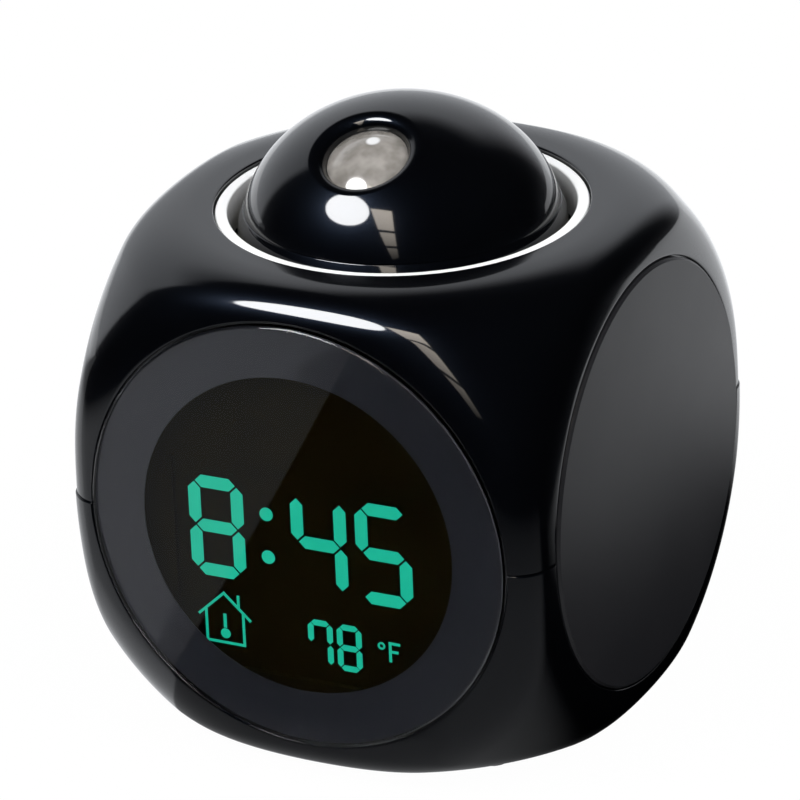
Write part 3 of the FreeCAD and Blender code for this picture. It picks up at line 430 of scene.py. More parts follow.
# %% Casing grids
SIDES = {
    "front": ((0, -1, 0), (1, 0, 0), (0, 0, 1)),
    "right": ((1, 0, 0), (0, 1, 0), (0, 0, 1)),
    "rear": ((0, 1, 0), (-1, 0, 0), (0, 0, 1)),
    "left": ((-1, 0, 0), (0, -1, 0), (0, 0, 1)),
    "top": ((0, 0, 1), (1, 0, 0), (0, 1, 0)),
}
SPREAD = np.linspace(-1, 1, 61)
CLOSE = np.array([0, 0.02, 0.06, 0.12, 0.2, 0.3, 0.45, 0.7, 1.1, 1.7]) / HALF
CLIMB = np.concatenate([CLOSE, np.linspace(0.05, 1, 30)])
LIP = 0.4
LIP_STEPS = 6
SKIN_ROWS = 30
INNER_ROWS = 8
PART_ROUND = 0.28
PROUD = 0.14
PROUD_FADE = 14.0


def half_square(way):
    """Walk along a side's edge from right to left, over the top for way 1 and under it for way -1."""
    across = SPREAD[::-1]
    walk = [(1.0, v) for v in CLIMB] + [(h, 1.0) for h in across[1:-1]] + [(-1.0, v) for v in CLIMB[::-1]]
    return np.array(walk) * [1, way]


def whole_square():
    """Walk all round a side's edge and back to the start."""
    run = SPREAD[:-1]
    sides = [np.stack([0 * run + 1, run], -1), np.stack([-run, 0 * run + 1], -1),
             np.stack([0 * run - 1, -run], -1), np.stack([run, 0 * run - 1], -1)]
    walk = np.concatenate(sides)
    return np.vstack([walk, walk[:1]])


def in_side(side, across, up, out):
    """Points from a side's own coordinates: across and up its face, and out along its normal."""
    normal, sideways, upwards = (np.array(v, float) for v in SIDES[side])
    return across[..., None] * sideways + up[..., None] * upwards + out[..., None] * normal


def circle_walk(side, radius, walk, inset=0.0):
    """Rays to the skin's points at a radius from the side's own axis, one for each step of a walk."""
    lift = casing_middle[2] - parting if side != "top" else 0.0
    angle = np.arctan2(walk[:, 1], walk[:, 0])
    reach = lift * np.sin(angle) + np.sqrt(radius ** 2 - (lift * np.cos(angle)) ** 2)
    across, up = reach * np.cos(angle), reach * np.sin(angle)
    out = np.full(len(walk), HALF)
    for _ in range(16):
        found = on_casing(in_side(side, across, up, out), inset) - ray_start
        out = found @ np.array(SIDES[side][0], float)
    return np.stack([across / out, up / out], -1), np.stack([across, up - lift], -1) / radius, out


def part_rounding(points, way):
    """Rounds the skin in at the parting line and lets the lower shell stand a little proud there."""
    height = np.abs(points[..., 2] - parting)
    close = np.clip(PART_ROUND - height, 0, PART_ROUND)
    tuck = PART_ROUND - np.sqrt(PART_ROUND ** 2 - close ** 2)
    fade = np.clip(1 - height / PROUD_FADE, 0, 1)
    shift = -way * PROUD * fade * fade * (3 - 2 * fade) - tuck
    flat = points[..., :2]
    points = points.copy()
    points[..., :2] = flat * (1 + shift / np.linalg.norm(flat, axis=-1))[..., None]
    return points


def side_chain(side, walk, way, radius, steps):
    """Grid of one side's wall: in along the skin, over the lip, down the seat and back out inside.

    steps are (radius, out) corners of the seat, in millimetres from the casing's middle."""
    rim, ring, skin_out = circle_walk(side, radius + LIP, walk)
    share = np.linspace(1, 0, SKIN_ROWS)[:, None, None]
    flat = walk * share + rim * (1 - share)
    skin = on_casing(in_side(side, flat[..., 0], flat[..., 1], np.ones(flat.shape[:2])))
    if way:
        skin = part_rounding(skin, way)

    def at(distance, out):
        """Points at a distance from the side's axis."""
        around = in_side(side, ring[:, 0] * distance, ring[:, 1] * distance, out + 0 * ring[:, 0])
        return around + casing_middle

    skin_out = skin_out + (parting - casing_middle[2] if side == "top" else 0.0)
    bend = np.linspace(0, 1, LIP_STEPS + 1)[1:]
    lip = [at(radius + LIP * (1 - t) ** 2, skin_out - LIP * t ** 2) for t in bend]
    seat = [at(distance, out) for distance, out in steps]
    inner_rim, _, _ = circle_walk(side, steps[-1][0], walk, WALL)
    share = np.linspace(0, 1, INNER_ROWS)[:, None, None]
    flat = walk * share + inner_rim * (1 - share)
    inner = on_casing(in_side(side, flat[..., 0], flat[..., 1], np.ones(flat.shape[:2])), WALL)
    return np.concatenate([skin, np.array(lip + seat), inner])


print("grid lines round a side:", len(whole_square()) - 1)

# %% [markdown]
# ## Upper and lower casing
# The two shells are one closed mesh each, with an outer skin, seats for the round covers and an
# inner skin. The underside has wells for the feet, recesses for the long screws and rings of small
# holes for the speaker. Those are cut with a Boolean modifier, the way the mould's pins would form
# them, because they cross the grid at random.

# %% Casing shells
LENS_SEAT = [(43.05, 48.55), (36.5, 48.55), (36.5, 46.4), (44.0, 46.4)]
PANEL_SEAT = [(41.55, 48.6), (34.0, 48.6), (34.0, 46.6), (43.0, 46.6)]
REAR_SEAT = [(43.05, 47.75), (38.0, 47.75), (38.0, 45.9), (44.0, 45.9)]
RING_SEAT = [(35.85, 45.5), (34.2, 45.5), (34.2, 28.0), (37.6, 28.0)]
SEATS = {"front": LENS_SEAT, "right": PANEL_SEAT, "rear": REAR_SEAT, "left": PANEL_SEAT}
FEET = (1, 2, 3, 4)
FOOT_WELL = 4.55
SCREW_WELL = 3.05
SCREW_DEEP = 9.0
SCREW_X = 36.0
SCREW_Y = 20.0
SOUND_HOLE = 0.9
SOUND_PITCH = 3.2
SOUND_RINGS = 3


def shell(name, way):
    """One half of the casing, the upper for way 1 and the lower for way -1."""
    grids, caps = [], []
    for side, seat in SEATS.items():
        chain = side_chain(side, half_square(way), way, seat[0][0], seat)
        grids.append(chain)
        caps += [chain[:, 0], chain[:, -1]]
    if way == 1:
        grids.append(side_chain("top", whole_square(), 0, RING_SEAT[0][0], RING_SEAT))
    else:
        across, along = np.meshgrid(SPREAD, SPREAD)
        down = np.stack([across, along, 0 * across - 1], -1)
        grids += [on_casing(down), on_casing(down, WALL)]
    return welded(name, grids, caps)


def upright_pin(radius, low, high, x, y, steps):
    """Upright cylinder between two heights."""
    outline = [(0, low), (radius, low), (radius, high), (0, high)]
    return turned(np.array(outline, float), steps) + [x, y, 0]


def cutters():
    """Cylinders for the feet, the screw recesses and the speaker's holes, from under the floor upwards."""
    under = bottom - 3
    pins = []
    for number in FEET:
        low, high = span("foot_%d" % number)
        x, y = ((low + high) / 2)[:2]
        pins.append(upright_pin(FOOT_WELL, under, high[2] + 0.02, x, y, 64))
    for x in (-SCREW_X, SCREW_X):
        pins += [upright_pin(SCREW_WELL, under, bottom + SCREW_DEEP, x, y, 48) for y in (-SCREW_Y, SCREW_Y)]
    pins.append(upright_pin(SOUND_HOLE, under, bottom + WALL + 2, 0, 0, 20))
    for ring in range(1, SOUND_RINGS + 1):
        for step in range(6 * ring):
            angle = math.radians(step * 60 / ring)
            x, y = SOUND_PITCH * ring * math.cos(angle), SOUND_PITCH * ring * math.sin(angle)
            pins.append(upright_pin(SOUND_HOLE, under, bottom + WALL + 2, x, y, 20))
    return welded("cutters", pins)


def cut_from(mesh, tool_mesh):
    """The mesh with the tools' volume taken out of it."""
    target = bpy.data.objects.new("target", mesh)
    tool = bpy.data.objects.new("tool", tool_mesh)
    for made in (target, tool):
        bpy.context.scene.collection.objects.link(made)
    modifier = target.modifiers.new("cut", "BOOLEAN")
    modifier.operation = "DIFFERENCE"
    modifier.solver = "EXACT"
    modifier.object = tool
    depsgraph = bpy.context.evaluated_depsgraph_get()
    result = bpy.data.meshes.new_from_object(target.evaluated_get(depsgraph))
    for made in (target, tool):
        bpy.data.objects.remove(made)
    result.shade_smooth()
    result.set_sharp_from_angle(angle=math.radians(38))
    return result


piece("upper_shell", shell("upper_shell", 1), casing_black, "casing", "casing_black", "upper_casing")
lower_mesh = cut_from(shell("lower_shell", -1), cutters())
piece("lower_shell", lower_mesh, casing_black, "casing", "casing_black", "lower_casing")

# %% [markdown]
# ## Feet
# Rubber feet are moulded with a tapered, rounded lower edge, so only a small round patch touches the
# table.

# %% Feet
FOOT_TAPER = 1.3
for number in FEET:
    foot_name = "foot_%d" % number
    low, high = span(foot_name)
    radius = (high[0] - low[0]) / 2
    foot_section = rounded([(0, low[2], 0), (radius - FOOT_TAPER, low[2], 0.5), (radius, high[2] - 0.2, 0.1),
                            (radius, high[2], 0.05), (0, high[2], 0)])
    foot_grid = turned(foot_section, 64) + [(low[0] + high[0]) / 2, (low[1] + high[1]) / 2, 0]
    piece("soft_" + foot_name, welded(foot_name, [foot_grid]), soft_rubber, "casing", "rubber", foot_name)

# %% [markdown]
# ## Round covers
# The front lens, the panels and the film are turned pieces whose axis lies level. The lens and the
# panels each have a small chamfer with rounded ends, which shows as the fine bright line that runs
# round a cover.

# %% Lens, film and panels
def disc_outline(radius, back, front, chamfer, soft=0.08):
    """Closed half section of a disc, (radius, height), with a chamfered front edge."""
    return rounded([(0, back, 0), (radius, back, soft), (radius, front - chamfer, soft),
                    (radius - chamfer, front, soft), (0, front, 0)], 3)


def cover(name, node, axis, chamfer, finish, slot):
    """Disc cover in the place of a CAD node, facing along an axis."""
    low, high = span(node)
    middle = (low + high) / 2
    way = int(np.argmax(np.abs(axis)))
    radius = (high[2] - low[2]) / 2
    front = max(abs(low[way]), abs(high[way]))
    back = min(abs(low[way]), abs(high[way]))
    grid = turned(disc_outline(radius, back, front, chamfer), 256)
    middle[way] = 0
    return piece(name, welded(name, [towards(grid, axis, middle)], sharp=50), finish, "casing", slot, node)


def clear_plastic(name, roughness=0.0):
    """Clear plastic with a faint haze."""
    finish = Finish(name, Base_Color=(1.0, 1.0, 1.0), Roughness=roughness, IOR=1.31, Transmission_Weight=1.0)
    haze = finish.noise(4.0, 2.0)
    finish.feed(Roughness=haze * 0.008 + roughness)
    return finish


lens_clear = clear_plastic("clear_acrylic")
cover("clear_front", "front_lens", (0, -1, 0), 0.4, lens_clear, "clear_lens")
cover("panel_right", "side_panel_right", (1, 0, 0), 0.5, panel_black, "satin_black")
cover("panel_left", "side_panel_left", (-1, 0, 0), 0.5, panel_black, "satin_black")

film_low, film_high = span("lens_mask")
WINDOW = 32.1
film_gap = 0.03
film_outline = np.array([(WINDOW, -film_high[1]), (film_high[0], -film_high[1]),
                         (film_high[0], -film_low[1] - film_gap), (WINDOW, -film_low[1] - film_gap)])
film_grid = towards(turned(film_outline, 256), (0, -1, 0), casing_middle)
piece("film_ring", welded("film_ring", [film_grid]), film_grey, "casing", "mask_grey", "lens_mask")

# %% [markdown]
# ## The ring and the snooze key
# A glossy white ring lines the opening in the top. Inside it stands the skirt of the snooze key,
# which carries the dome: pressing the dome presses the key. Three pins under the key's floor hold its
# springs in place.

# %% Ring and skirt
RING_OUTER = 35.6
RING_LIP = 33.25
RING_BORE = 32.7
RING_TUBE = 33.9
FLANGE = 33.95
FLANGE_HIGH = 4.7
SKIRT = 31.4
SKIRT_TOP = 30.3
NECK_BORE = 29.5
HUB = 20.0
FLOOR_THICK = 2.0
NECK_GAP = 0.05
PIN_GAP = 1.4

ring_low, ring_high = (corner[2] for corner in span("ring_trim"))
ring_section = rounded([
    (RING_OUTER, ring_high, 0.5), (RING_LIP, ring_high, 0.35), (RING_BORE, ring_high - 3.0, 0),
    (RING_BORE, ring_low, 0.2), (RING_TUBE, ring_low, 0.2), (RING_TUBE, ring_high - 2.5, 0),
    (RING_OUTER, ring_high - 2.5, 0.2)])
ring_mesh = welded("white_ring", [turned(ring_section, 256)])
piece("white_ring", ring_mesh, ring_white, "casing", "white_trim", "ring_trim")

key_top = span("snooze_key")[1][2]
floor_low = span("dome")[0][2] - FLOOR_THICK - NECK_GAP
flange_top = floor_low + FLANGE_HIGH
floor_top = floor_low + FLOOR_THICK
skirt_section = rounded([
    (HUB, floor_low, 0), (FLANGE, floor_low, 0.3), (FLANGE, flange_top, 0.2), (SKIRT, flange_top, 0),
    (SKIRT, key_top - 3.3, 0), (SKIRT - 0.25, key_top - 1.7, 1.5), (SKIRT_TOP, key_top, 0.35),
    (NECK_BORE, key_top, 0.1), (NECK_BORE, floor_top, 0.2), (HUB, floor_top, 0)])
skirt_grids = [turned(skirt_section, 256)]
for number in (1, 2, 3):
    spring_low, spring_high = span("key_spring_%d" % number)
    middle = (spring_low + spring_high) / 2
    thin = middle[0] - spring_low[0] - PIN_GAP
    skirt_grids.append(upright_pin(thin, floor_low - 2, floor_low + 0.05, middle[0], middle[1], 32))
skirt = welded("key_skirt", skirt_grids)
print("skirt section has", len(skirt_section), "points")

# %% [markdown]
# ## The dome
# The dome is a flattened ball with a flared bezel let into it for the projection lens. Lines are
# drawn on the ball from the bezel's edge down to the dome's foot, along great circles of the round
# ball that it is before it is flattened, so the bezel's edge is a grid line. From there a curve rolls
# the surface over into the lens's throat, and that roll is what catches the soft box.

# %% Dome
DOME_WIDE = 30.7
DOME_TALL = 25.1
DOME_WALL = 2.0
AXIS_TILT = math.radians(64.5)
BEZEL_RADIUS = 10.2
BEZEL_DEEP = 2.2
THROAT = 7.9
THROAT_DEEP = 5.0
BARREL_ROOM = 9.2
LENS_BACK = 14.5
LENS_UP = 63.9
NECK_EASE = 0.06
dome_top = span("dome")[1][2]
dome_middle = dome_top - DOME_TALL
dome_foot = key_top + 0.1
axis_out = np.array([0, -LENS_BACK, casing_middle[2] + LENS_UP])
axis_way = np.array([0, -math.cos(AXIS_TILT), math.sin(AXIS_TILT)])


def dome_points(unit, inset=0.0):
    """Stretches points of a unit ball into the dome."""
    return unit * [DOME_WIDE - inset, DOME_WIDE - inset, DOME_TALL - inset] + [0, 0, dome_middle]


def bezel_gap(points, wider=0.0):
    """How far points lie outside the bezel's cone, whose radius falls from its rim to its throat."""
    from_rim = points - axis_out
    deep = -(from_rim @ axis_way)
    away = np.linalg.norm(from_rim + deep[..., None] * axis_way, axis=-1)
    return away - (BEZEL_RADIUS + wider - (BEZEL_RADIUS - THROAT) * deep / BEZEL_DEEP)


def great_circles(steps, foot, inset=0.0, wider=0.0):
    """First and last angle along great circles from the lens: where the bezel and the foot cut them."""
    pole = (axis_out - [0, 0, dome_middle]) / [DOME_WIDE, DOME_WIDE, DOME_TALL]
    pole = pole / np.linalg.norm(pole)
    side = np.array([1.0, 0, 0])
    other = np.cross(pole, side)
    angle = np.linspace(0, 2 * math.pi, steps + 1)
    ways = np.cos(angle)[:, None] * side + np.sin(angle)[:, None] * other

    def ball(arc):
        return np.cos(arc)[..., None] * pole + np.sin(arc)[..., None] * ways

    def solve(test, low, high):
        low, high = np.full(steps + 1, low), np.full(steps + 1, high)
        for _ in range(40):
            middle = (low + high) / 2
            before = test(dome_points(ball(middle), inset))
            low, high = np.where(before, middle, low), np.where(before, high, middle)
        return low

    first = solve(lambda points: bezel_gap(points, wider) < 0, 0.0, 1.2)
    last = solve(lambda points: points[:, 2] > foot, 0.3, 2.9)
    return ball, first, last


def dome_mesh():
    """Dome's skin, bezel, wall and neck, as rows that start at the foot and end inside."""
    steps, rows, lip = 224, 72, 0.55
    ball, first, last = great_circles(steps, dome_foot, wider=lip)
    share = np.linspace(1, 0, rows)[:, None]
    skin = dome_points(ball(first + (last - first) * share))
    near_rim = skin[-1]
    from_axis = near_rim - axis_out
    deep = -(from_axis @ axis_way)
    radial = from_axis + deep[:, None] * axis_way
    radial /= np.linalg.norm(radial, axis=-1, keepdims=True)

    def at(distance, depth):
        return axis_out + radial * np.reshape(distance, (-1, 1)) - np.reshape(depth, (-1, 1)) * axis_way

    count = steps + 1
    corner = at(THROAT + 0.35, deep - 0.1)
    end = at(np.full(count, THROAT), np.full(count, BEZEL_DEEP))
    bend = np.linspace(0, 1, 20)[1:, None, None]
    edge = (1 - bend) ** 2 * near_rim + 2 * bend * (1 - bend) * corner + bend ** 2 * end
    throat = [at(np.full(count, radius), np.full(count, THROAT_DEEP)) for radius in (THROAT, BARREL_ROOM)]
    inner_first = great_circles(steps, dome_foot, DOME_WALL, 1.2)[1]
    share = np.linspace(0, 1, 24)[:, None]
    inner = dome_points(ball(inner_first + (last - 0.03 - inner_first) * share), DOME_WALL)
    around = np.arctan2(skin[0][:, 1], skin[0][:, 0])

    def level_ring(radius, height):
        return np.stack([radius * np.cos(around), radius * np.sin(around), 0 * around + height], -1)

    outer = NECK_BORE - NECK_EASE
    bore, low = outer - DOME_WALL, floor_top + NECK_GAP
    neck = [level_ring(bore, dome_foot), level_ring(bore, low), level_ring(outer, low),
            level_ring(outer, dome_foot), skin[0]]
    rows = np.concatenate([skin, edge, np.array(throat), inner, np.array(neck)])
    return welded("dome_shell", [rows], sharp=45)


piece("dome_shell", dome_mesh(), casing_black, "projector_head", "casing_black", "dome")
piece("key_skirt", skirt, casing_black, "snooze_key", "casing_black", "snooze_key")

# %% [markdown]
# ## The projection lens
# The lens is a small domed disc of moulded acrylic. Light from the pale lamp board behind it makes
# it look milky, and that light is painted into a pale body with swirls of painted streaky reflection.
# Its coat reflects the soft box near the lower edge, and a painted highlight on the other side stands
# for the same light gathered by the lens. A pale body under a clear coat, part of it let through,
# gives that look without a costly simulation of the optics.

# %% Projection lens
# Place and depth of the painted highlight on the lens, in millimetres.
PAINTED_HIGHLIGHT_PLACE = 3.7
PAINTED_HIGHLIGHT_DEEP = 0.7


def lens_with_painted_light():
    """Pale body of painted lamp light, with swirls of painted streaky reflection and a round painted
    highlight above the middle.
    """
    finish = Finish("acrylic_with_painted_light", IOR=1.49, Transmission_Weight=0.35, Coat_Weight=1.0, Coat_Roughness=0.02)
    # Painted reflection: the swirls stand for bright streaks reflected from the barrel inside.
    painted_streaks = finish.noise(3.6, 2.0, 0.6)
    across_lens = np.cross(axis_way, (1.0, 0, 0))
    painted_highlight_centre = (axis_out - axis_way * PAINTED_HIGHLIGHT_DEEP + across_lens * PAINTED_HIGHLIGHT_PLACE) / MM
    sockets = {0: finish.place, 1: tuple(painted_highlight_centre)}
    away = finish.node("VectorMath", {"operation": "DISTANCE"}, sockets, output=1)
    # Painted highlight: a round white spot where the lens would gather the soft box's light.
    spot = 1 - finish.step(away, 0.0009, 0.0016)
    rings = finish.noise(0.5, 1.0)
    # Painted light: the pale body stands for the lamp board's light seen through the lens.
    painted_lamp_light = finish.mix(finish.step(painted_streaks, 0.2, 0.8), (0.25, 0.23, 0.205), (0.46, 0.43, 0.395))
    finish.feed(Base_Color=finish.mix(spot, painted_lamp_light, (1.0, 1.0, 1.0)),
                Roughness=rings * 0.06 + 0.12)
    return finish


lens_edge_deep = BEZEL_DEEP + 0.05
LENS_RADIUS = 7.8
LENS_EDGE = 1.4
LENS_SAG = 2.1
bow = (LENS_RADIUS ** 2 + LENS_SAG ** 2) / (2 * LENS_SAG)
lens_angle = np.linspace(0, math.asin(LENS_RADIUS / bow), 24)
cap_curve = np.stack([bow * np.sin(lens_angle), LENS_SAG - bow * (1 - np.cos(lens_angle))], -1)
lens_section = np.vstack([cap_curve, [(LENS_RADIUS, -LENS_EDGE), (0, -LENS_EDGE)]])
lens_grid = towards(turned(lens_section, 96), axis_way, axis_out - axis_way * lens_edge_deep)
lens_mesh = welded("throw_lens", [lens_grid])
piece("throw_lens", lens_mesh, lens_with_painted_light(), "projector_head", "clear_lens", "projection_lens")

# %% [markdown]
# ## Finishes for the other pieces
# The remaining CAD nodes already have their real shape, so only their surface changes. Each slot
# of the record gets one finish: lit figures glow, dark glass and satin keys reflect, boards show a
# weave, metal is brushed or plated, and cells have a plain printed jacket.

# %% Plain and patterned finishes
def metal(name, colour, rough, streak=0.2):
    """Metal whose fine streaks run along X and Y."""
    finish = Finish(name, Metallic=1.0)
    stretched = finish.node("Mapping", {}, {"Vector": finish.place, "Scale": (1.0, 0.12, 1.0)})
    lines = finish.node("TexNoise", {}, {"Vector": stretched, "Scale": MM / streak, "Detail": 2.0})
    finish.feed(Base_Color=finish.mix(lines, tuple(0.8 * c for c in colour), colour),
                Roughness=lines * 0.16 + (rough - 0.08))
    return finish


def lit_figure():
    """Figures that glow teal green, a touch brighter in slow random patches."""
    finish = Finish("lit_figures", Roughness=0.4, Emission_Strength=1.0)
    glow = finish.noise(7.0, 1.0)
    finish.feed(Base_Color=finish.mix(glow, (0.003, 0.10, 0.07), (0.005, 0.12, 0.08)),
                Emission_Color=finish.mix(glow, (0.0045, 0.375, 0.240), (0.0075, 0.425, 0.275)))
    return finish


def dark_glass():
    """Brownish black of an unlit display, seen through the front lens."""
    finish = Finish("dark_glass", Specular_IOR_Level=0.0)
    cloud = finish.noise(12.0, 1.0)
    finish.feed(Base_Color=finish.mix(cloud, (0.0085, 0.0064, 0.0017), (0.0098, 0.0074, 0.0022)),
                Roughness=cloud * 0.05 + 0.25)
    return finish


def board(name, colour):
    """Laminate with a faint woven pattern of fine bands both ways."""
    finish = Finish(name)
    waves = {"Vector": finish.place, "Scale": 2200.0, "Distortion": 1.5}
    weave = [finish.node("TexWave", {"bands_direction": way}, waves) for way in ("X", "Z")]
    cloth = weave[0] * weave[1]
    finish.feed(Base_Color=finish.mix(cloth, colour, tuple(min(1.0, 1.3 * c) for c in colour)),
                Roughness=cloth * 0.15 + 0.3)
    return finish


JACKET_SPLIT = 0.0535


def cell_jacket():
    """Battery jacket in one plain grey, the upper quarter copper coloured."""
    finish = Finish("cell_jacket", Metallic=0.6)
    height = finish.node("SeparateXYZ", {}, {"Vector": finish.place}, output=2)
    band = finish.step(height, JACKET_SPLIT, JACKET_SPLIT + 0.0004)
    scuff = finish.noise(1.2, 3.0)
    jacket = finish.mix(band, (0.11, 0.12, 0.14), (0.45, 0.24, 0.13))
    finish.feed(Base_Color=jacket, Roughness=scuff * 0.15 + 0.3)
    return finish


def contact_rubber():
    """Rubber strip with the fine dark and pale stripes that carry the display's signals."""
    finish = Finish("striped_rubber")
    bands = finish.node("TexWave", {"bands_direction": "X"}, {"Vector": finish.place, "Scale": 400.0})
    finish.feed(Base_Color=finish.mix(bands, (0.42, 0.20, 0.20), (0.05, 0.04, 0.04)),
                Roughness=bands * 0.1 + 0.6)
    return finish


finishes = {
    "casing_black": casing_black,
    "satin_black": panel_black,
    "white_trim": ring_white,
    "clear_lens": lens_clear,
    "mask_grey": film_grey,
    "black_foam": plastic("black_foam", (0.02, 0.02, 0.02), 0.9, 0.5, 0.05),
    "display_black": dark_glass(),
    "lit_green": lit_figure(),
    "guide_clear": clear_plastic("guide_acrylic", 0.05),
    "board_white": board("white_board", (0.72, 0.72, 0.70)),
    "board_green": board("green_board", (0.015, 0.14, 0.05)),
    "pink_rubber": contact_rubber(),
    "inner_black": plastic("inner_black", (0.016, 0.016, 0.017), 0.45),
    "key_black": plastic("key_black", (0.017, 0.017, 0.019), 0.34, 0.2, 0.003),
    "rubber": soft_rubber,
    "steel_screw": metal("screw_zinc", (0.62, 0.62, 0.64), 0.3),
    "spring_steel": metal("spring_steel", (0.5, 0.5, 0.52), 0.25),
    "zinc_steel": metal("zinc_sheet", (0.62, 0.62, 0.62), 0.35),
    "magnet_steel": metal("magnet_plate", (0.45, 0.45, 0.48), 0.28),
    "cone_paper": plastic("cone_paper", (0.05, 0.05, 0.052), 0.85, 0.4, 0.03),
    "cell_jacket": cell_jacket(),
    "nickel": metal("nickel_plate", (0.72, 0.70, 0.66), 0.22),
    "lamp": plastic("lamp_body", (0.85, 0.82, 0.55), 0.3),
}
for row in frame["record"]["subparts"]:
    made = nodes[row["node"]]
    made.data.materials.clear()
    made.data.materials.append(finishes[row["material_slot"]].material)
nodes["display_frame"].data.materials[0] = finishes["display_black"].material
print("finishes:", len(finishes))

# %% [markdown]
# ## Floor, backdrop and light
# The clock stands on a pale floor in a pale room, lit by one large soft box from the upper left and
# a warm paned card in front. Polished black shows only what it reflects, so the room matters more than
# the lamps: a pale wall behind and to the left, dark above and in front, and a pale floor that ends at
# a straight edge, which is the slanted line across the lens.

# %% Floor and backdrop
def stage_plane(name, corners, tree_maker):
    """Flat stage piece through corners in millimetres."""
    mesh = bpy.data.meshes.new(name)
    mesh.from_pydata(np.array(corners, float) / MM, [], [tuple(range(len(corners)))])
    made = bpy.data.objects.new(name, mesh)
    bpy.context.scene.collection.objects.link(made)
    material = bpy.data.materials.new(name)
    material.use_nodes = True
    tree_maker(Tree(material.node_tree))
    mesh.materials.append(material)
    return made


FLOOR = 2600.0
CARD_NEAR = (-39.8, -50.0)
CARD_LEAN = 0.241
LEFT_GLOW = 0.55
REAR_GLOW = 0.9
RIGHT_GLOW = 0.66
NEAR_GLOW = 0.24


def floor_shader(tree):
    """White to the camera with a faint shadow, and to reflections a floor that is pale only in places.

    It is pale left of a straight edge in front, behind the clock and beyond a painted shadow of its
    right side, and dim near its front right corner."""
    kinds = [tree.node("LightPath", {}, {}, output=i) for i in range(4)]
    seen, glossy = kinds[0], kinds[3]
    place = tree.node("TexCoord", {}, {}, output=3)
    x, y, _ = [tree.node("SeparateXYZ", {}, {"Vector": place}, output=i) for i in range(3)]
    edge = (x - CARD_NEAR[0] / MM) - (y - CARD_NEAR[1] / MM) * CARD_LEAN
    away = tree.node("VectorMath", {"operation": "DISTANCE"}, {0: place, 1: (0.0, 0.0, 0.0)}, output=1)
    left = (1 - tree.step(edge, -0.0006, 0.0006)) * (1 - tree.step(away, 0.24, 0.46)) * LEFT_GLOW
    beyond = 1 - tree.step(x - y * 0.5, 0.10, 0.16)
    rear = tree.step(y, 0.09, 0.17) * beyond * REAR_GLOW
    # Painted shadow: the glow stays off close to the clock's right side, where its shadow would fall.
    right = tree.step(x, 0.078, 0.114) * tree.step(y, 0.02, 0.09) * beyond * RIGHT_GLOW
    corner = tree.node("VectorMath", {"operation": "DISTANCE"}, {0: place, 1: (0.05, -0.05, 0.0)}, output=1)
    near = (1 - tree.step(corner, 0.03, 0.24)) * tree.step(x, 0.0, 0.03) * (1 - tree.step(y, -0.05, -0.02))
    foot = tree.step(y, -0.072, -0.058) * (1 - tree.step(x, 0.02, 0.05))
    near = near.maths("MAXIMUM", near * NEAR_GLOW, foot * NEAR_GLOW)
    glow = left.maths("MAXIMUM", left, rear)
    glow = glow.maths("MAXIMUM", glow, right) + near
    paint = tree.node("BsdfDiffuse", {}, {"Color": (0.86, 0.86, 0.86)})
    white = tree.node("Emission", {}, {"Color": (1.0, 1.0, 1.0), "Strength": 1.0})
    shown = tree.node("MixShader", {}, {0: 0.985, 1: paint, 2: white})
    reflected = tree.node("Emission", {}, {"Color": (0.95, 0.97, 1.0), "Strength": glow})
    first = tree.node("MixShader", {}, {0: seen, 1: paint, 2: shown})
    surface = tree.node("MixShader", {}, {0: glossy, 1: first, 2: reflected})
    tree.node("OutputMaterial", {}, {"Surface": surface})


floor_corners = [(-FLOOR, -FLOOR, 0), (FLOOR, -FLOOR, 0), (FLOOR, FLOOR, 0), (-FLOOR, FLOOR, 0)]
stage_plane("floor", floor_corners, floor_shader)

WALL_GLOW = 0.66
WORLD_LIGHT = 0.6


def room(tree):
    """White to the camera, soft light for matt surfaces, and a pale low wall for reflections."""
    kinds = [tree.node("LightPath", {}, {}, output=i) for i in range(4)]
    seen, glossy = kinds[0], kinds[3]
    way = tree.node("TexCoord", {}, {}, output=0)
    x, y, z = [tree.node("SeparateXYZ", {}, {"Vector": way}, output=i) for i in range(3)]
    low = 1 - tree.step(z, 0.54, 0.76)
    behind = tree.step(y + x * 0.1, -0.05, 0.08)
    leftward = 1 - tree.step(x, -0.08, 0.3)
    wall = low * behind * leftward * WALL_GLOW
    strength = seen + (1 - seen) * (glossy * wall + (1 - glossy) * WORLD_LIGHT)
    tint = tree.mix(seen, (0.92, 0.95, 1.0), (1.0, 1.0, 1.0))
    background = tree.node("Background", {}, {"Color": tint, "Strength": strength})
    tree.node("OutputWorld", {}, {"Surface": background})


world = bpy.data.worlds.new("room")
bpy.context.scene.world = world
world.use_nodes = True
room(Tree(world.node_tree))
print("floor and room are ready")

# %% Lamps
LOOK_AT = np.array([0.0, 0.0, 60.0])
CARD_BARS = (0.45, 0.66)
CARD_GLOW = 9.0


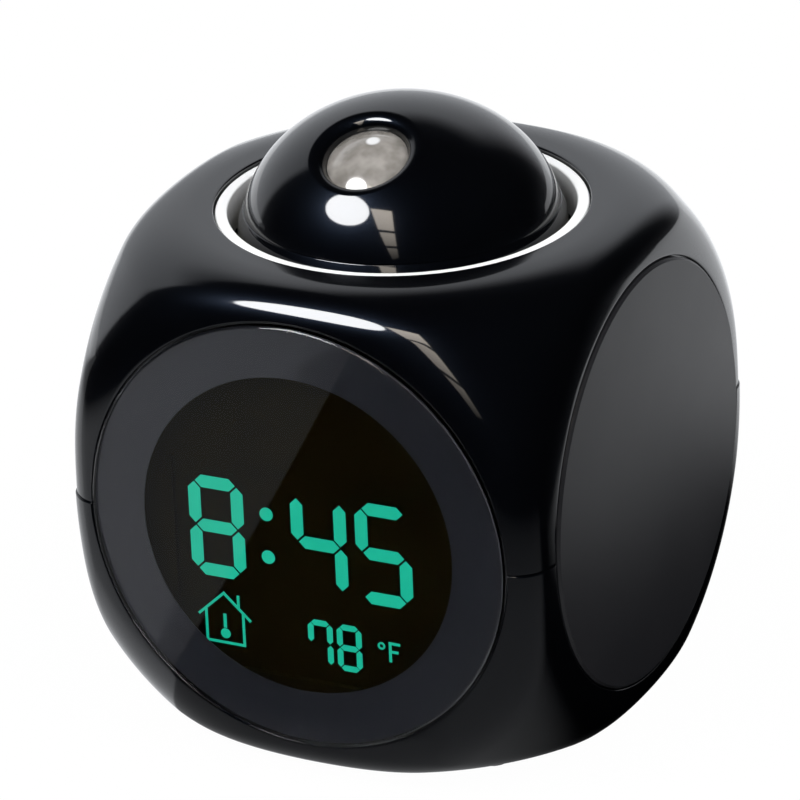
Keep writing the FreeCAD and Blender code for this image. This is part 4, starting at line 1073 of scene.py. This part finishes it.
def soft_box(name, way, distance, wide, high, power, colour=(1.0, 1.0, 1.0), seen_by="both"):
    """Area lamp at a distance along a direction, facing the clock, sizes in millimetres."""
    data = bpy.data.lights.new(name, "AREA")
    data.shape = "RECTANGLE"
    data.size, data.size_y = wide / MM, high / MM
    data.energy = power
    data.color = colour
    lamp = bpy.data.objects.new(name, data)
    bpy.context.scene.collection.objects.link(lamp)
    way = Vector(way).normalized()
    lamp.location = (Vector(LOOK_AT) + way * distance) / MM
    lamp.rotation_mode = "QUATERNION"
    lamp.rotation_quaternion = way.to_track_quat("Z", "Y")
    lamp.visible_camera = False
    if seen_by == "gloss":
        data.shape = "ELLIPSE"
        lamp.visible_diffuse = False
        lamp.visible_transmission = False
    if seen_by == "matt":
        lamp.visible_glossy = False
    return lamp


def warm_card(corners, distance):
    """Warm card in front that only reflections see, brightest at its top.

    Corners are azimuth and elevation in degrees, from the clock's front towards its right."""
    def place(azimuth, elevation):
        across, rise = math.radians(azimuth), math.radians(elevation)
        level = np.array([math.sin(across), -math.cos(across), 0]) * math.cos(rise)
        return LOOK_AT + distance * (level + [0, 0, math.sin(rise)])

    def glow(tree):
        spot = tree.node("TexCoord", {}, {}, output=3)
        height = tree.node("SeparateXYZ", {}, {"Vector": spot}, output=2)
        bars = [tree.step(height.maths("ABSOLUTE", height - level), 0.012, 0.02) for level in CARD_BARS]
        fade = tree.step(height, 0.15, 1.0) * bars[0] * bars[1] * CARD_GLOW
        light = tree.node("Emission", {}, {"Color": (1.0, 0.9, 0.78), "Strength": fade})
        tree.node("OutputMaterial", {}, {"Surface": light})

    card = stage_plane("warm_card", [place(*corner) for corner in corners], glow)
    card.visible_camera = card.visible_diffuse = False
    card.visible_transmission = card.visible_shadow = False


KEY_WAY = (-0.320, -0.602, 0.731)
soft_box("key_light", KEY_WAY, 1500, 850, 650, 15.0, seen_by="matt")
soft_box("key_shine", KEY_WAY, 1100, 600, 460, 15.0, seen_by="gloss")
warm_card([(-7, 54), (16, 54), (23, 12), (19, 10)], 1100)
soft_box("fill_light", (0.72, -0.15, 0.68), 1300, 900, 900, 12.0, seen_by="matt")
bpy.context.scene.view_settings.view_transform = "Standard"
